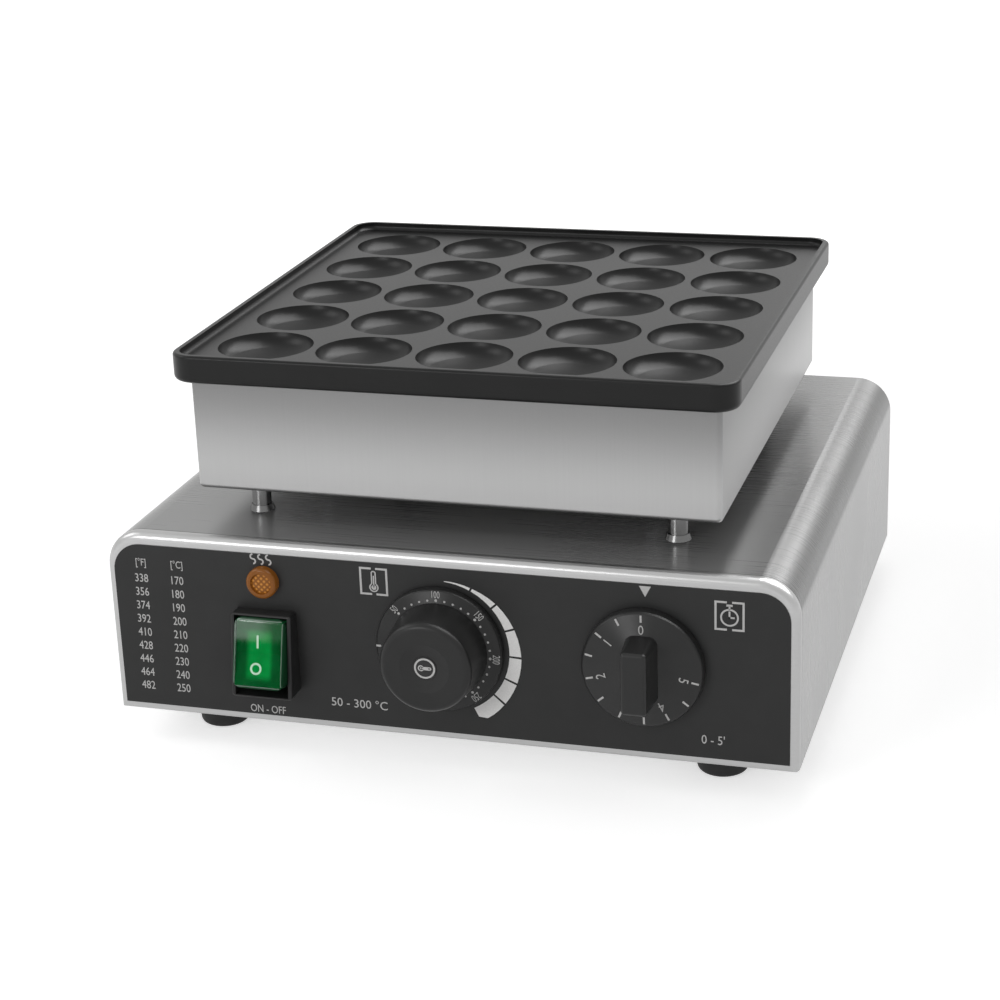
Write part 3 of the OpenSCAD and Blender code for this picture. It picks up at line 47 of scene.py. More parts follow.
# Camera of the photograph, which is a square picture
PICTURE_PX = 1000
FOCAL_PX = 2314.7
SENSOR_MM = 36.0
CAMERA_PLACE = Vector((0.294227, -1.002898, 0.461434))
CAMERA_AZIMUTH = math.radians(17.07)
CAMERA_ELEVATION = math.radians(20.19)
CAMERA_ROLL = math.radians(-2.08)

# Studio, in metres: the floor's glow rises with the distance from the part
AMBIENT_LEVEL = 0.55
FLOOR_RADIUS = 6.0
FLOOR_SIDES = 64
FLOOR_TONE = 0.80
GLOW_NEAR = 0.55
GLOW_FAR = 0.80
GLOW_START = 0.25
GLOW_END = 1.0
LAMP_AIM = Vector((0.0, 0.0, 0.1))

# Spread of roughness over a surface
BRUSH_GLOSS = 0.05
CLOUD_GLOSS = 0.04
GRAIN_GLOSS = 0.06

# Rocker and dials, in millimetres and radians
ROCKER_TILT = math.radians(15.0)
ROCKER_FALL = 1.2
ROCKER_HALF = 14.6
ROCKER_MIDDLE = 8.6
SKIRT_THICKNESS = 3.2
DISC_THICKNESS = 4.6

# Ink, in millimetres and degrees
INK_THICKNESS = 0.06
INK_LIFT = 0.01
BAND_STEP = 6.0
SPOT_SIDES = 20

# Unit table, from the film's left and upper edges
FAHRENHEIT_INSET = 12.9
CELSIUS_INSET = 30.1
UNIT_SHIFT = 0.2
UNIT_DROP = 8.6
FIRST_ROW_DROP = 15.7
ROW_STEP = 6.51
ROW_SLANT = -0.18

# Blocks round the temperature knob: angle at which each starts and its width there, and the last one's end
WEDGE_INNER = 30.7
WEDGE_GAP = 1.6
WEDGE_ROUND = 7.0
WEDGE_ROUND_SHARE = 0.6
WEDGE_STEPS = (
    (5.0, 0.3), (28.0, 1.3), (50.0, 3.0), (72.0, 4.2), (94.0, 5.3), (114.0, 5.8), (132.0, 6.3), (153.0, 7.0)
)

# Temperature dial
TOP_CELSIUS = 100
DEGREES_PER_CELSIUS = 0.94
DOT_RING = 23.3
BIG_DOT = 0.62
SMALL_DOT = 0.50
FIGURE_RING = 26.0

# Timer disc
HALF_MINUTE_TURN = -26.0
HALF_MINUTES = 10
TICK_INNER = 21.6
TICK_OUTER = 24.8
TICK_WIDTH = 0.85
MINUTE_RING = 18.2


# Camera, floor and light

def photo_camera():
    """Camera at the photograph's place, with its small roll."""
    back = Vector((
        math.sin(CAMERA_AZIMUTH) * math.cos(CAMERA_ELEVATION),
        -math.cos(CAMERA_AZIMUTH) * math.cos(CAMERA_ELEVATION),
        math.sin(CAMERA_ELEVATION),
    ))
    level = Vector((math.cos(CAMERA_AZIMUTH), math.sin(CAMERA_AZIMUTH), 0.0))
    upright = back.cross(level)
    right = level * math.cos(CAMERA_ROLL) + upright * math.sin(CAMERA_ROLL)
    up = upright * math.cos(CAMERA_ROLL) - level * math.sin(CAMERA_ROLL)
    lens = bpy.data.cameras.new("photo_camera")
    lens.sensor_width = SENSOR_MM
    lens.lens = FOCAL_PX * SENSOR_MM / PICTURE_PX
    lens.clip_start = 0.01
    lens.clip_end = 50.0
    camera = bpy.data.objects.new("photo_camera", lens)
    turn = Matrix((right, up, back)).transposed().to_4x4()
    camera.matrix_world = Matrix.Translation(CAMERA_PLACE) @ turn
    bpy.context.scene.collection.objects.link(camera)
    bpy.context.scene.camera = camera


def seen_rays(tree):
    """Socket that is 1 for rays that show a background: camera, mirror and glass rays."""
    path = tree.nodes.new("ShaderNodeLightPath")
    total = path.outputs["Is Camera Ray"]
    for ray_kind in ("Is Glossy Ray", "Is Transmission Ray"):
        either = tree.nodes.new("ShaderNodeMath")
        either.operation = "MAXIMUM"
        tree.links.new(total, either.inputs[0])
        tree.links.new(path.outputs[ray_kind], either.inputs[1])
        total = either.outputs[0]
    return total


def studio_world():
    """Even white surround that lights softly and shows as white."""
    world = bpy.data.worlds.new("studio")
    world.use_nodes = True
    tree = world.node_tree
    tree.nodes.clear()
    ambient = tree.nodes.new("ShaderNodeBackground")
    ambient.inputs["Color"].default_value = (1.0, 1.0, 1.0, 1.0)
    ambient.inputs["Strength"].default_value = AMBIENT_LEVEL
    white = tree.nodes.new("ShaderNodeBackground")
    white.inputs["Color"].default_value = (1.0, 1.0, 0.995, 1.0)
    white.inputs["Strength"].default_value = 1.0
    choose = tree.nodes.new("ShaderNodeMixShader")
    out = tree.nodes.new("ShaderNodeOutputWorld")
    tree.links.new(seen_rays(tree), choose.inputs[0])
    tree.links.new(ambient.outputs[0], choose.inputs[1])
    tree.links.new(white.outputs[0], choose.inputs[2])
    tree.links.new(choose.outputs[0], out.inputs[0])
    bpy.context.scene.world = world


def floor_paper():
    """Pale paper that shows white and keeps a soft shadow."""
    material = bpy.data.materials.new("floor_paper")
    material.use_nodes = True
    tree = material.node_tree
    tree.nodes.clear()
    paper = tree.nodes.new("ShaderNodeBsdfDiffuse")
    paper.inputs["Color"].default_value = (FLOOR_TONE, FLOOR_TONE, FLOOR_TONE, 1.0)
    place = tree.nodes.new("ShaderNodeTexCoord")
    away = tree.nodes.new("ShaderNodeVectorMath")
    away.operation = "LENGTH"
    rise = tree.nodes.new("ShaderNodeMapRange")
    rise.interpolation_type = "SMOOTHSTEP"
    for socket, value in zip(rise.inputs[1:5], (GLOW_START, GLOW_END, GLOW_NEAR, GLOW_FAR)):
        socket.default_value = value
    lift = tree.nodes.new("ShaderNodeMath")
    lift.operation = "MULTIPLY"
    glow = tree.nodes.new("ShaderNodeEmission")
    both = tree.nodes.new("ShaderNodeAddShader")
    out = tree.nodes.new("ShaderNodeOutputMaterial")
    tree.links.new(place.outputs["Object"], away.inputs[0])
    tree.links.new(away.outputs["Value"], rise.inputs["Value"])
    tree.links.new(seen_rays(tree), lift.inputs[0])
    tree.links.new(rise.outputs["Result"], lift.inputs[1])
    tree.links.new(lift.outputs[0], glow.inputs["Strength"])
    tree.links.new(paper.outputs[0], both.inputs[0])
    tree.links.new(glow.outputs[0], both.inputs[1])
    tree.links.new(both.outputs[0], out.inputs[0])
    return material


def studio_floor():
    """Round floor under the part."""
    disc = bmesh.new()
    bmesh.ops.create_circle(disc, cap_ends=True, segments=FLOOR_SIDES, radius=FLOOR_RADIUS)
    mesh = bpy.data.meshes.new("floor")
    disc.to_mesh(mesh)
    disc.free()
    mesh.materials.append(floor_paper())
    floor = bpy.data.objects.new("floor", mesh)
    bpy.context.scene.collection.objects.link(floor)


def soft_lamp(name, place, size, power, card=False):
    """Soft box at a place in metres, of a power in watts. A card only shows in reflections."""
    light = bpy.data.lights.new(name, "AREA")
    light.shape = "RECTANGLE"
    light.size, light.size_y = size
    light.energy = power
    lamp = bpy.data.objects.new(name, light)
    place = Vector(place)
    turn = (place - LAMP_AIM).to_track_quat("Z", "Y")
    lamp.matrix_world = Matrix.Translation(place) @ turn.to_matrix().to_4x4()
    lamp.visible_diffuse = not card
    bpy.context.scene.collection.objects.link(lamp)


def studio():
    """Camera, surround, floor and lamps."""
    photo_camera()
    studio_world()
    studio_floor()
    soft_lamp("top_card", place=(1.03, 0.84, 2.34), size=(2.5, 2.5), power=125.0, card=True)
    soft_lamp("left_box", place=(-1.10, -0.30, 0.97), size=(0.6, 0.6), power=3.0)
    soft_lamp("back_strip", place=(0.02, 1.3, 0.74), size=(0.12, 0.3), power=0.3)
    soft_lamp("front_box", place=(-0.60, -1.36, 0.68), size=(0.5, 0.4), power=4.5)
    bpy.context.scene.view_settings.view_transform = "Standard"


# Finishes

class Finish:
    """A procedural material, patterned on Object coordinates in metres."""

    def __init__(self, name, **sockets):
        self.material = bpy.data.materials.new(name)
        self.material.use_nodes = True
        self.tree = self.material.node_tree
        self.shader = self.tree.nodes["Principled BSDF"]
        self.place = self.add("ShaderNodeTexCoord").outputs["Object"]
        self.normal = None
        for socket, value in sockets.items():
            self.shader.inputs[socket.replace("_", " ")].default_value = value

    def add(self, kind, **settings):
        """New node with its settings."""
        node = self.tree.nodes.new(kind)
        for setting, value in settings.items():
            setattr(node, setting, value)
        return node

    def link(self, source, target):
        self.tree.links.new(source, target)

    def feed(self, source, socket):
        """Links a source to a socket of the shader."""
        self.link(source, self.shader.inputs[socket])

    def mapped(self, scale=(1, 1, 1), at=(0, 0, 0), turn=(0, 0, 0)):
        """Object coordinates scaled per metre, after a shift and a turn."""
        mapping = self.add("ShaderNodeMapping", vector_type="TEXTURE")
        mapping.inputs["Location"].default_value = at
        mapping.inputs["Rotation"].default_value = turn
        mapping.inputs["Scale"].default_value = tuple(1 / s for s in scale)
        self.link(self.place, mapping.inputs["Vector"])
        return mapping.outputs["Vector"]

    def noise(self, scale, detail=3.0, roughness=0.55):
        """Noise with so many features to the metre, alike on all axes or one number for each."""
        steps = scale if isinstance(scale, tuple) else (scale,) * 3
        texture = self.add("ShaderNodeTexNoise")
        texture.inputs["Scale"].default_value = 1.0
        texture.inputs["Detail"].default_value = detail
        texture.inputs["Roughness"].default_value = roughness
        self.link(self.mapped(steps), texture.inputs["Vector"])
        return texture.outputs["Fac"]

    def spread(self, source, low, high, start=0.0, end=1.0, smooth=False):
        """Socket's range from start to end taken to low and high."""
        fit = self.add("ShaderNodeMapRange")
        if smooth:
            fit.interpolation_type = "SMOOTHSTEP"
        fit.inputs["From Min"].default_value = start
        fit.inputs["From Max"].default_value = end
        fit.inputs["To Min"].default_value = low
        fit.inputs["To Max"].default_value = high
        self.link(source, fit.inputs["Value"])
        return fit.outputs["Result"]

    def tint(self, source, dark, light, start=0.3, end=0.7):
        """Colour between two tones along a socket."""
        ramp = self.add("ShaderNodeValToRGB")
        ramp.color_ramp.elements[0].position = start
        ramp.color_ramp.elements[0].color = (*dark, 1.0)
        ramp.color_ramp.elements[1].position = end
        ramp.color_ramp.elements[1].color = (*light, 1.0)
        self.link(source, ramp.inputs["Fac"])
        return ramp.outputs["Color"]

    def blend(self, factor, first, second):
        """Colour that goes from the first socket to the second."""
        mix = self.add("ShaderNodeMix", data_type="RGBA")
        self.link(factor, mix.inputs["Factor"])
        self.link(first, mix.inputs[6])
        self.link(second, mix.inputs[7])
        return mix.outputs[2]

    def sum_up(self, operation, first, second=0.0):
        """Result of a sum whose terms are sockets or numbers."""
        node = self.add("ShaderNodeMath", operation=operation)
        for socket, value in zip(node.inputs, (first, second)):
            if isinstance(value, (int, float)):
                socket.default_value = value
            else:
                self.link(value, socket)
        return node.outputs[0]

    def axis(self, letter):
        """One coordinate in metres."""
        split = self.add("ShaderNodeSeparateXYZ")
        self.link(self.place, split.inputs[0])
        return split.outputs[letter.upper()]

    def off_axis(self, centre):
        """Distance in metres from an axis along y through a point."""
        away = self.add("ShaderNodeVectorMath", operation="LENGTH")
        self.link(self.mapped((1, 0.001, 1), at=centre), away.inputs[0])
        return away.outputs["Value"]

    def relief(self, source, depth):
        """Bump so many metres deep, on top of the bumps before it."""
        bump = self.add("ShaderNodeBump")
        bump.inputs["Strength"].default_value = 1.0
        bump.inputs["Distance"].default_value = depth
        self.link(source, bump.inputs["Height"])
        if self.normal:
            self.link(self.normal, bump.inputs["Normal"])
        self.normal = bump.outputs["Normal"]
        self.feed(self.normal, "Normal")


def grey(level, warm=0.0):
    """Grey of a level, made warmer by a share of it."""
    return (level * (1 + warm), level, level * (1 - warm))


def brushed_sheet(name, tone, grain, rough, lines=0.03, depth=0.7e-6, metal=1.0, painted_shading=(), smear=0.0):
    """Stainless sheet with fine brush lines, grain in lines to the metre. Each shift of tone by height is
    given as two heights in metres between which the tone shifts, and the tone after it; these shifts are
    painted reflection and painted shade, not the steel's own colour. Smear stretches reflections along y."""
    sheet = Finish(name, Metallic=metal, Anisotropic=smear)
    brush = sheet.noise(grain, detail=4.0, roughness=0.7)
    cloud = sheet.noise(14.0, detail=2.0)
    colour = sheet.tint(brush, grey(tone * (1 - lines)), grey(tone * (1 + lines)))
    # Painted reflection and painted shade: the tone shifts by height
    for start, end, last in painted_shading:
        share = sheet.spread(sheet.axis("z"), 0.0, 1.0, start, end, smooth=True)
        after = sheet.tint(brush, grey(last * (1 - lines)), grey(last * (1 + lines)))
        colour = sheet.blend(share, colour, after)
    sheet.feed(colour, "Base Color")
    streak = sheet.spread(brush, -BRUSH_GLOSS, BRUSH_GLOSS)
    patch = sheet.spread(cloud, rough - CLOUD_GLOSS, rough + CLOUD_GLOSS)
    sheet.feed(sheet.sum_up("ADD", streak, patch), "Roughness")
    sheet.relief(brush, depth)
    if smear:
        along = sheet.add("ShaderNodeCombineXYZ")
        along.inputs["Y"].default_value = 1.0
        sheet.feed(along.outputs[0], "Tangent")
    return sheet.material


def cast_coating():
    """Dark non-stick coating over a fine cast grain."""
    cast = Finish("cast_coating", Specular_IOR_Level=0.22)
    grain = cast.noise(900.0, detail=4.0)
    cloud = cast.noise(35.0)
    cast.feed(cast.tint(cloud, grey(0.004), grey(0.006)), "Base Color")
    cast.feed(cast.spread(grain, 0.29, 0.39), "Roughness")
    cast.relief(grain, 12e-6)
    return cast.material


def moulded(name, tone, rough, grain=1600.0, depth=12e-6, specular=0.5, warm=0.0, cone=None):
    """Moulded plastic or rubber with a fine spark-eroded grain. The cone is a dial's axis, the inner and
    outer radius of its sloping face, the fall of that face and its depth, in metres."""
    plastic = Finish(name, Specular_IOR_Level=specular)
    texture = plastic.noise(grain, detail=2.0)
    cloud = plastic.noise(60.0, detail=2.0)
    plastic.feed(plastic.tint(cloud, grey(tone * 0.9, warm), grey(tone * 1.1, warm)), "Base Color")
    plastic.feed(plastic.spread(texture, rough - GRAIN_GLOSS, rough + GRAIN_GLOSS), "Roughness")
    if cone:
        axis, inner, outer, fall, face = cone
        slope = plastic.spread(plastic.off_axis(axis), 1.0, 0.0, inner, outer)
        # What stands out from the face keeps its own form
        behind = plastic.spread(plastic.axis("y"), 0.0, 1.0, face - 0.4 * MM, face - 0.2 * MM)
        plastic.relief(plastic.sum_up("MULTIPLY", slope, behind), fall)
    plastic.relief(texture, depth)
    return plastic.material


def coloured(name, dark, light, rough, grain=300.0, metal=0.0, depth=8e-6):
    """Plain part whose colour wanders between two tones."""
    part = Finish(name, Metallic=metal)
    texture = part.noise(grain)
    part.feed(part.tint(texture, dark, light), "Base Color")
    part.feed(part.spread(texture, rough - GRAIN_GLOSS, rough + GRAIN_GLOSS), "Roughness")
    part.relief(texture, depth)
    return part.material


def lit_rocker():
    """Green rocker, lit from inside along its middle."""
    low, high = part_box("rocker")
    green = Finish("lit_rocker", Roughness=0.3, Specular_IOR_Level=0.02, Emission_Strength=0.45)
    inside = 1.0
    # Millimetres from the middle between which the light fades
    for letter, start, end in (("x", 4.0, 7.0), ("z", 8.0, 12.0)):
        middle = (getattr(low, letter) + getattr(high, letter)) / 2
        off_middle = green.sum_up("ABSOLUTE", green.sum_up("SUBTRACT", green.axis(letter), middle))
        near = green.spread(off_middle, 1.0, 0.0, start * MM, end * MM, smooth=True)
        inside = green.sum_up("MULTIPLY", near, inside)
    cloud = green.noise(250.0)
    dark = green.tint(cloud, (0.001, 0.040, 0.010), (0.001, 0.055, 0.014))
    bright = green.tint(cloud, (0.001, 0.125, 0.026), (0.001, 0.165, 0.034))
    lit = green.blend(inside, dark, bright)
    green.feed(lit, "Base Color")
    green.feed(lit, "Emission Color")
    return green.material


def clear_cover():
    """Clear soft cover over the rocker, with green light caught in its walls and a gloss on its upper end."""
    cover = Finish("clear_cover", Transmission_Weight=1.0, IOR=1.05, Coat_Roughness=0.15, Coat_IOR=1.8)
    wave = cover.noise(90.0, detail=1.0)
    flat = cover.mapped(at=joint_place("rocker_tip"), turn=(math.pi / 2 - ROCKER_TILT, 0, 0))
    along = cover.add("ShaderNodeSeparateXYZ")
    cover.link(flat, along.inputs[0])
    walls = 0.0
    # Millimetres from the middle at which the walls start
    for letter, start in (("X", 10.7), ("Y", 14.5)):
        off_middle = cover.sum_up("ABSOLUTE", along.outputs[letter])
        wall = cover.spread(off_middle, 0.0, 1.0, start * MM, (start + 0.5) * MM)
        walls = cover.sum_up("MAXIMUM", wall, walls)
    clear = cover.tint(wave, (0.72, 0.92, 0.80), (0.80, 0.96, 0.86))
    caught = cover.tint(wave, (0.010, 0.055, 0.022), (0.014, 0.070, 0.030))
    cover.feed(cover.blend(walls, clear, caught), "Base Color")
    cover.feed(cover.spread(walls, 1.0, 0.1), "Transmission Weight")
    cover.feed(cover.spread(wave, 0.02, 0.06), "Roughness")
    cover.relief(wave, 40e-6)
    upper = cover.spread(along.outputs["Y"], 0.0, 0.7, 4 * MM, 8 * MM, smooth=True)
    left = cover.spread(along.outputs["X"], 1.0, 0.2, -2 * MM, 8 * MM, smooth=True)
    cover.feed(cover.sum_up("MULTIPLY", upper, left), "Coat Weight")
    return cover.material


def amber_lens():
    """Amber lens with fine crossed facets."""
    lens = Finish("amber_lens", Roughness=0.2, Specular_IOR_Level=0.2, Emission_Strength=0.15)
    low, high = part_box("lamp_lens")
    crossed = lens.spread(lens.off_axis((low + high) / 2), 1.0, 0.0, 4.4 * MM, 4.9 * MM)
    for lean in (45, -45):
        wave = lens.add("ShaderNodeTexWave", wave_type="BANDS", bands_direction="X", wave_profile="SIN")
        wave.inputs["Scale"].default_value = 1.0
        facets = lens.mapped((170.0, 170.0, 170.0), turn=(0, math.radians(lean), 0))
        lens.link(facets, wave.inputs["Vector"])
        crossed = lens.sum_up("MULTIPLY", crossed, wave.outputs["Fac"])
    amber = lens.tint(crossed, (0.21, 0.072, 0.010), (0.54, 0.22, 0.036), 0.0, 0.8)
    lens.feed(amber, "Base Color")
    lens.feed(amber, "Emission Color")
    lens.relief(crossed, 120e-6)
    return lens.material


def dial_cone(joint, knob, thickness, inner, outer, fall):
    """Sloping face of a dial as moulded takes it, from sizes in millimetres."""
    return joint_place(joint), inner * MM, outer * MM, fall * MM, dial_face(knob, thickness)


def dress(material, *names):
    """Gives CAD nodes a finish."""
    for name in names:
        slots = nodes[name].data.materials
        slots.clear()
        slots.append(material)


def dress_steel():
    """Sheet, posts and plated small parts."""
    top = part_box("base_shell")[1].z
    # Painted reflection: a dark band in the wrap's upper bends and lighter sides below them
    painted_bend_reflection = ((top - 2.2 * MM, top - 5.2 * MM, 0.21), (top - 12.2 * MM, top - 15.2 * MM, 0.43))
    wrap = brushed_sheet("wrap_steel", tone=0.28, grain=(9.0, 1000.0, 9.0), rough=0.28, lines=0.035,
                         depth=0.4e-6, metal=0.55, painted_shading=painted_bend_reflection, smear=0.75)
    dress(wrap, "base_shell", "rear_panel", "bottom_plate")
    dress(brushed_sheet("panel_steel", tone=0.42, grain=(6.0, 900.0, 900.0), rough=0.32), "front_panel")
    low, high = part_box("grill_casing")
    # Painted shade and painted reflection: the casing darkens towards its upper edge, under the plate's rim
    upper = ((low.z + 9.0 * MM, high.z + 0.4 * MM, 0.19),)
    casing = brushed_sheet("casing_steel", tone=0.38, grain=(900.0, 900.0, 6.0), rough=0.38, lines=0.02,
                           painted_shading=upper)
    dress(casing, "grill_casing")
    turned = (30.0, 30.0, 1500.0)
    dress(brushed_sheet("turned_steel", tone=0.36, grain=turned, rough=0.20), "support_posts")
    dress(brushed_sheet("collar_steel", tone=0.15, grain=turned, rough=0.24), "post_collars")
    zinc = coloured("zinc_plate", grey(0.50, -0.02), grey(0.66, -0.02), rough=0.30, grain=500.0, metal=1.0)
    dress(zinc, "bottom_screws", "foot_screws", "foot_nuts", "post_nuts", "plate_studs", "casing_nuts",
          "clamp_nuts", "clamp_plate", "bulb_clip", "thermostat_shaft", "timer_shaft", "control_screws",
          "block_screws")


def dress_controls():
    """Film, knobs, switch and lamp on the front, and the feet."""
    dress(moulded("panel_film", tone=0.016, rough=0.50, specular=0.30), "control_overlay")
    disc = dial_cone("timer_turn", "timer_knob", DISC_THICKNESS, inner=3, outer=26, fall=10.8)
    dress(moulded("timer_plastic", tone=0.020, rough=0.34, specular=0.28, cone=disc), "timer_knob")
    skirt = dial_cone("temperature_turn", "temperature_knob", SKIRT_THICKNESS, inner=22, outer=28.5, fall=3.1)
    dress(moulded("knob_plastic", tone=0.020, rough=0.34, specular=0.24, cone=skirt), "temperature_knob")
    dress(moulded("cap_plastic", tone=0.020, rough=0.45, specular=0.30), "knob_cap")
    dress(moulded("switch_plastic", tone=0.018, rough=0.40, specular=0.25), "switch_housing", "lamp_clip")
    dress(lit_rocker(), "rocker")
    dress(clear_cover(), "rocker_boot")
    dress(amber_lens(), "lamp_lens")
    rubber = moulded("foot_rubber", tone=0.036, rough=0.62, grain=900.0, depth=20e-6, specular=0.2)
    dress(rubber, "rubber_feet")


def dress_inside():
    """Mechanisms, element, insulation and wires."""
    dress(moulded("gland_nylon", tone=0.014, rough=0.42), "cable_gland", "gland_nut")
    dress(moulded("mechanism_plastic", tone=0.32, rough=0.45, warm=0.03),
          "thermostat_body", "timer_body", "lamp_body")
    wool = coloured("mineral_wool", (0.50, 0.44, 0.28), (0.74, 0.68, 0.48), rough=0.9, grain=700.0,
                    depth=300e-6)
    dress(wool, "insulation_pad")
    dress(coloured("element_sheath", grey(0.16), grey(0.28), rough=0.45, metal=1.0), "heating_element")
    dress(coloured("white_ceramic", (0.66, 0.63, 0.56), (0.76, 0.74, 0.68), rough=0.25),
          "element_terminals", "terminal_block")
    dress(coloured("red_sleeve", (0.28, 0.02, 0.012), (0.38, 0.03, 0.02), rough=0.5), "element_leads")
    dress(coloured("brown_sleeve", (0.12, 0.05, 0.02), (0.17, 0.07, 0.03), rough=0.5), "supply_wires")
    dress(coloured("black_sleeve", grey(0.014), grey(0.022), rough=0.5), "control_wires")
    dress(coloured("white_sleeve", grey(0.62, 0.02), grey(0.72, 0.02), rough=0.5), "lamp_wires")
    dress(coloured("drawn_copper", (0.60, 0.28, 0.16), (0.72, 0.38, 0.24), rough=0.28, metal=1.0),
          "thermostat_bulb", "capillary_tube")
    dress(coloured("stamped_brass", (0.62, 0.46, 0.18), (0.75, 0.58, 0.26), rough=0.3, metal=1.0),
          "switch_terminals")


def dress_nodes():
    """Every CAD node gets its finish."""
    dress(cast_coating(), "baking_plate")
    dress_steel()
    dress_controls()
    dress_inside()


# Ink on the panel, the dials, the cap and the rocker, drawn in millimetres on each face

def front_face(x, y, z):
    """Frame of a front face at a point in metres: x to the right, y up, z outwards, in millimetres."""
    return Matrix.Translation((x, y, z)) @ Matrix.Rotation(math.pi / 2, 4, "X") @ Matrix.Scale(MM, 4)


def joint_place(name):
    """Point on a joint's axis, in metres."""
    return Vector(next(joint["pos_m"] for joint in frame["joints"] if joint["name"] == name))


def axis_face(joint, y):
    """Front face round a joint's axis, at a depth in metres."""
    place = joint_place(joint)
    return front_face(place.x, y, place.z)


def dial_face(node, thickness):
    """Depth in metres of the flat face of a dial, from its back and its thickness in millimetres."""
    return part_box(node)[1].y - thickness * MM


def spot(ink, x, y, radius):
    """Round dot."""
    place = Matrix.Translation((x, y, 0))
    bmesh.ops.create_circle(ink, cap_ends=True, segments=SPOT_SIDES, radius=radius, matrix=place)


def bar(ink, start, end, width):
    """Straight stroke between two points."""
    start = Vector((*start, 0))
    end = Vector((*end, 0))
    run = end - start
    turn = Matrix.Rotation(math.atan2(run.y, run.x), 4, "Z")
    lie = Matrix.Translation((start + end) / 2) @ turn @ Matrix.Diagonal((run.length, width, 1, 1))
    bmesh.ops.create_grid(ink, x_segments=1, y_segments=1, size=0.5, matrix=lie)


def around(turn, radius):
    """Point of a dial at an angle in degrees, clockwise from the top."""
    return radius * math.sin(math.radians(turn)), radius * math.cos(math.radians(turn))


def tick(ink, turn, inner, outer, width):
    """Stroke that points away from the middle of a dial."""
    bar(ink, around(turn, inner), around(turn, outer), width)


def band(ink, centre, inner, outer, start=0.0, end=360.0):
    """Part of a flat ring, between two angles in degrees clockwise from the top. Returns its corners."""
    middle = Vector((*centre, 0))
    corners = [ink.verts.new(middle + Vector((*around(start, radius), 0))) for radius in (inner, outer)]
    edge = ink.edges.new(corners)
    before = set(ink.verts)
    span = end - start
    bmesh.ops.spin(ink, geom=[*corners, edge], cent=middle, axis=(0, 0, -1), angle=math.radians(span),
                   steps=max(2, round(span / BAND_STEP)), use_merge=span >= 360)
    return corners + [v for v in ink.verts if v not in before]


def lettering(ink, text, x, y, height, narrow, turn=0.0):
    """Flat lettering of a height, centred on a point, made narrower and turned clockwise."""
    curve = bpy.data.curves.new("lettering", "FONT")
    curve.body = text
    curve.resolution_u = 3
    letters = bpy.data.objects.new("lettering", curve)
    bpy.context.scene.collection.objects.link(letters)
    depsgraph = bpy.context.evaluated_depsgraph_get()
    flat = bpy.data.meshes.new_from_object(letters.evaluated_get(depsgraph))
    xs = [v.co.x for v in flat.vertices]
    ys = [v.co.y for v in flat.vertices]
    size = height / (max(ys) - min(ys))
    centred = Matrix.Translation((-(min(xs) + max(xs)) / 2, -(min(ys) + max(ys)) / 2, 0))
    lie = Matrix.Translation((x, y, 0)) @ Matrix.Rotation(-math.radians(turn), 4, "Z")
    flat.transform(lie @ Matrix.Diagonal((size * narrow, size, 1, 1)) @ centred)
    ink.from_mesh(flat)
    bpy.data.objects.remove(letters)
    bpy.data.curves.remove(curve)
    bpy.data.meshes.remove(flat)


def frame_with_gaps(ink, x, y, width, height, stroke, gap):
    """Frame round a point, with a gap in the middle of its upper and lower sides."""
    half = stroke / 2
    bottom = y - height / 2
    top = y + height / 2
    for out in (-1, 1):
        side = x + out * width / 2
        bar(ink, (side, bottom - half), (side, top + half), stroke)
        for level in (bottom, top):
            bar(ink, (side - out * half, level), (x + out * gap / 2, level), stroke)


def thermometer(ink, x, y, length, bulb, stroke, turn=0.0):
    """Thermometer sign: an outlined stem with its bulb at the lower end."""
    lean = math.radians(turn)

    def at(across, along):
        right = across * math.cos(lean) + along * math.sin(lean)
        up = along * math.cos(lean) - across * math.sin(lean)
        return x + right, y + up

    stem = bulb * 0.55
    half_neck = 34
    neck = bulb * 0.8
    foot = bulb - length / 2
    head = length / 2 - stem
    wall = stem - stroke / 2
    band(ink, at(0, foot), bulb - stroke, bulb, turn + half_neck, turn + 360 - half_neck)
    band(ink, at(0, head), stem - stroke, stem, turn - 90, turn + 90)
    for side in (-1, 1):
        bar(ink, at(side * wall, foot + neck), at(side * wall, head), stroke)
    spot(ink, *at(0, foot), bulb - 1.8 * stroke)
    bar(ink, at(0, foot), at(0, head - stem), stroke)


def clock(ink, x, y, radius, stroke):
    """Stopwatch sign: a ring with two hands, a button and its stem."""
    minute_hand = 0.72 * radius
    hour_hand = 0.55 * radius
    top = y + radius
    stem_end = top + 1.2
    button = top + 1.5
    half_button = 1.3
    button_stroke = 0.9
    band(ink, (x, y), radius - stroke, radius)
    bar(ink, (x, y - stroke / 2), (x, y + minute_hand), stroke)
    bar(ink, (x - stroke / 2, y), (x + hour_hand, y), stroke)
    bar(ink, (x, top - stroke / 2), (x, stem_end), stroke)
    bar(ink, (x - half_button, button), (x + half_button, button), button_stroke)


def heat_waves(ink, x, y, height, pitch, stroke):
    """Three rising waves, each made of two half turns."""
    quarter = height / 4
    inner = quarter - stroke / 2
    outer = quarter + stroke / 2
    for wave in (-1, 0, 1):
        for level, start in ((y + quarter, 180.0), (y - quarter, 0.0)):
            band(ink, (x + wave * pitch, level), inner, outer, start, start + 180.0)


def pointer(ink, x, y, width, height):
    """Triangle that points down to a point."""
    corners = ((-width / 2, height), (width / 2, height), (0, 0))
    ink.faces.new([ink.verts.new((x + across, y + up, 0)) for across, up in corners])


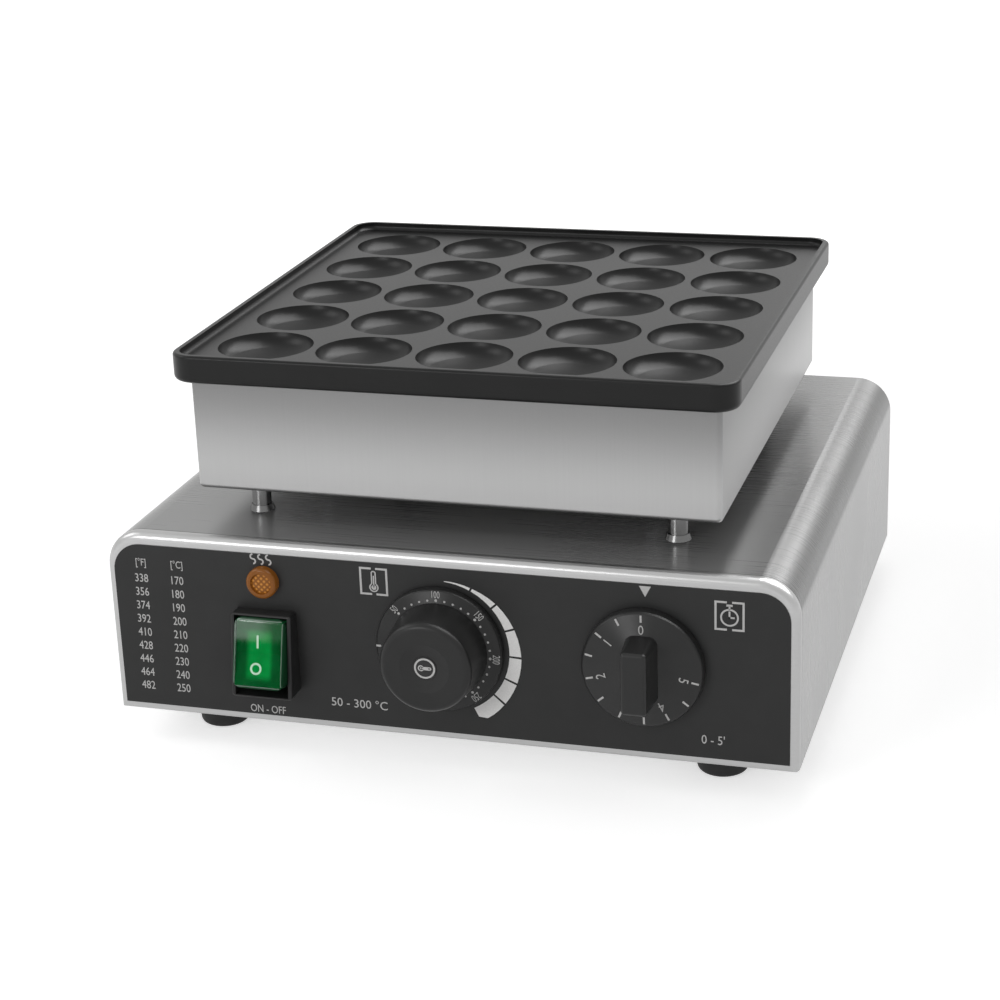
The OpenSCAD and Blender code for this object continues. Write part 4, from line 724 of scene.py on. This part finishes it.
def wedge_scale(ink):
    """Ring of blocks that grow wider clockwise. The last one's end is rounded off."""
    for (start, thin), (end, thick) in zip(WEDGE_STEPS, WEDGE_STEPS[1:]):
        last = end == WEDGE_STEPS[-1][0]
        stop = end if last else end - WEDGE_GAP
        for v in band(ink, (0, 0), WEDGE_INNER, WEDGE_INNER + thick, start, stop):
            out = v.co.xy
            turn = math.degrees(math.atan2(out.x, out.y)) % 360
            if out.length > WEDGE_INNER + thick / 2:
                width = thin + (thick - thin) * (turn - start) / (end - start)
                if last:
                    near_end = max(0.0, turn - end + WEDGE_ROUND) / WEDGE_ROUND
                    width *= math.sqrt(max(0.0, 1 - WEDGE_ROUND_SHARE * near_end ** 2))
                v.co.xy = out.normalized() * (WEDGE_INNER + width)


def raise_ink(ink, face):
    """Gives flat ink its thickness and lays it on a face."""
    raised = bmesh.ops.extrude_face_region(ink, geom=ink.faces[:], use_keep_orig=True)["geom"]
    tops = [v for v in raised if isinstance(v, bmesh.types.BMVert)]
    bmesh.ops.translate(ink, vec=(0, 0, INK_THICKNESS), verts=tops)
    bmesh.ops.translate(ink, vec=(0, 0, INK_LIFT), verts=ink.verts)
    bmesh.ops.recalc_face_normals(ink, faces=ink.faces)
    bmesh.ops.transform(ink, matrix=face, verts=ink.verts)


def printed(ink, name, body, material):
    """Object of a raised print, riding on a body."""
    mesh = bpy.data.meshes.new(name)
    ink.to_mesh(mesh)
    ink.free()
    mesh.materials.append(material)
    piece = bpy.data.objects.new(name, mesh)
    bpy.context.scene.collection.objects.link(piece)
    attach(piece, body)


def film_point(place):
    """Point of the film in front of a place, in millimetres across and up."""
    return place.x / MM, place.z / MM


def unit_table(ink):
    """Columns of Fahrenheit and Celsius, whose rows lean a little to the left."""
    low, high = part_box("control_overlay")
    left = low.x / MM
    top = high.z / MM
    for inset, unit in ((FAHRENHEIT_INSET, "[°F]"), (CELSIUS_INSET, "[°C]")):
        lettering(ink, unit, left + inset + UNIT_SHIFT, top - UNIT_DROP, height=4.6, narrow=0.72)
    for row, celsius in enumerate(range(170, 251, 10)):
        y = top - FIRST_ROW_DROP - row * ROW_STEP
        slant = row * ROW_SLANT
        fahrenheit = round(celsius * 1.8 + 32)
        for inset, degrees in ((FAHRENHEIT_INSET, fahrenheit), (CELSIUS_INSET, celsius)):
            lettering(ink, str(degrees), left + inset + slant, y, height=3.9, narrow=0.80)


def switch_signs(ink):
    """Heat waves over the lamp, and words under the switch."""
    low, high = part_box("lamp_lens")
    x, y = film_point((low + high) / 2)
    heat_waves(ink, x - 0.8, y + 10.1, height=4.4, pitch=3.6, stroke=0.7)
    x, y = film_point(joint_place("rocker_tip"))
    lettering(ink, "ON - OFF", x - 2.4, y - 29.6, height=3.6, narrow=0.78)


def temperature_signs(ink):
    """Range of the temperature knob, and a framed thermometer."""
    x, y = film_point(joint_place("temperature_turn"))
    lettering(ink, "50 - 300 °C", x - 38.9, y - 30.6, height=4.2, narrow=0.98)
    frame_with_gaps(ink, x - 29.1, y + 28.1, width=11.8, height=11.8, stroke=0.9, gap=2.0)
    thermometer(ink, x - 29.1, y + 28.1, length=9.8, bulb=2.1, stroke=0.55)


def timer_signs(ink):
    """Range of the timer, a framed stopwatch, and the pointer over the disc."""
    x, y = film_point(joint_place("timer_turn"))
    lettering(ink, "0 - 5'", x + 29.3, y - 31.7, height=4.2, narrow=0.86)
    frame_with_gaps(ink, x + 36.25, y + 25.4, width=11.7, height=12.2, stroke=0.9, gap=2.2)
    clock(ink, x + 36.25, y + 24.7, radius=3.9, stroke=0.75)
    pointer(ink, x + 0.75, y + 31.0, width=5.1, height=4.8)


def panel_print(material):
    """Unit table, words and signs on the film."""
    ink = bmesh.new()
    unit_table(ink)
    switch_signs(ink)
    temperature_signs(ink)
    timer_signs(ink)
    raise_ink(ink, front_face(0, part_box("control_overlay")[0].y, 0))
    printed(ink, "panel_print", "baker", material)


def scale_print(material):
    """Scale of blocks round the temperature knob."""
    ink = bmesh.new()
    wedge_scale(ink)
    raise_ink(ink, axis_face("temperature_turn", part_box("control_overlay")[0].y))
    printed(ink, "scale_print", "baker", material)


def temperature_print(material):
    """Dots every ten degrees, the figures round the temperature dial, and its mark on the left."""
    ink = bmesh.new()
    for celsius in range(50, 301, 10):
        turn = (celsius - TOP_CELSIUS) * DEGREES_PER_CELSIUS
        whole = celsius % 50 == 0
        spot(ink, *around(turn, DOT_RING), BIG_DOT if whole else SMALL_DOT)
        if whole:
            lettering(ink, str(celsius), *around(turn, FIGURE_RING), height=3.3, narrow=0.60, turn=turn)
    tick(ink, turn=-90.0, inner=25.8, outer=28.0, width=0.9)
    spot(ink, *around(-103.0, 25.2), BIG_DOT)
    raise_ink(ink, axis_face("temperature_turn", dial_face("temperature_knob", SKIRT_THICKNESS)))
    printed(ink, "temperature_print", "temperature_control", material)


def timer_print(material):
    """Ticks every half minute, and the minutes round the timer disc."""
    ink = bmesh.new()
    for half in range(HALF_MINUTES + 1):
        turn = half * HALF_MINUTE_TURN
        tick(ink, turn, TICK_INNER, TICK_OUTER, TICK_WIDTH)
        if half % 2 == 0:
            lettering(ink, str(half // 2), *around(turn, MINUTE_RING), height=4.2, narrow=0.85, turn=turn)
    raise_ink(ink, axis_face("timer_turn", dial_face("timer_knob", DISC_THICKNESS)))
    printed(ink, "timer_print", "timer_control", material)


def cap_print(material):
    """Ring round a thermometer on the middle of the temperature knob."""
    ink = bmesh.new()
    band(ink, (0, 0), inner=3.85, outer=4.65)
    thermometer(ink, x=0, y=0, length=6.0, bulb=1.35, stroke=0.5, turn=90.0)
    raise_ink(ink, axis_face("temperature_turn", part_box("knob_cap")[0].y))
    printed(ink, "cap_print", "temperature_control", material)


def rocker_print(material):
    """Strokes I and O on the two slopes of the rocker, which is stored tilted."""
    tilted = front_face(*joint_place("rocker_tip")) @ Matrix.Rotation(-ROCKER_TILT, 4, "X")
    middle = tilted @ Matrix.Translation((0, 0, ROCKER_MIDDLE))
    slope = math.atan2(ROCKER_FALL, ROCKER_HALF)
    stroke = bmesh.new()
    bar(stroke, (-0.9, 2.2), (-0.9, 8.0), 0.9)
    ring = bmesh.new()
    band(ring, (-1.3, -6.9), inner=1.75, outer=2.65)
    for ink, name, lean in ((stroke, "on_mark", slope), (ring, "off_mark", -slope)):
        raise_ink(ink, middle @ Matrix.Rotation(lean, 4, "X"))
        printed(ink, name, "rocker_switch", material)


def screen_ink(name, tone):
    """Slightly uneven screen print."""
    finish = Finish(name, Roughness=0.55)
    speckle = finish.noise(1800.0, detail=2.0)
    finish.feed(finish.tint(speckle, grey(tone * 0.94, 0.01), grey(tone * 1.05, 0.01)), "Base Color")
    finish.relief(speckle, 6e-6)
    return finish.material


def print_marks():
    """All print, in three shades of ink."""
    pale = screen_ink("pale_ink", tone=0.52)
    panel_print(pale)
    scale_print(screen_ink("scale_ink", tone=0.80))
    temperature_print(pale)
    timer_print(pale)
    cap_print(pale)
    rocker_print(screen_ink("mark_ink", tone=0.62))


studio()
dress_nodes()
print_marks()
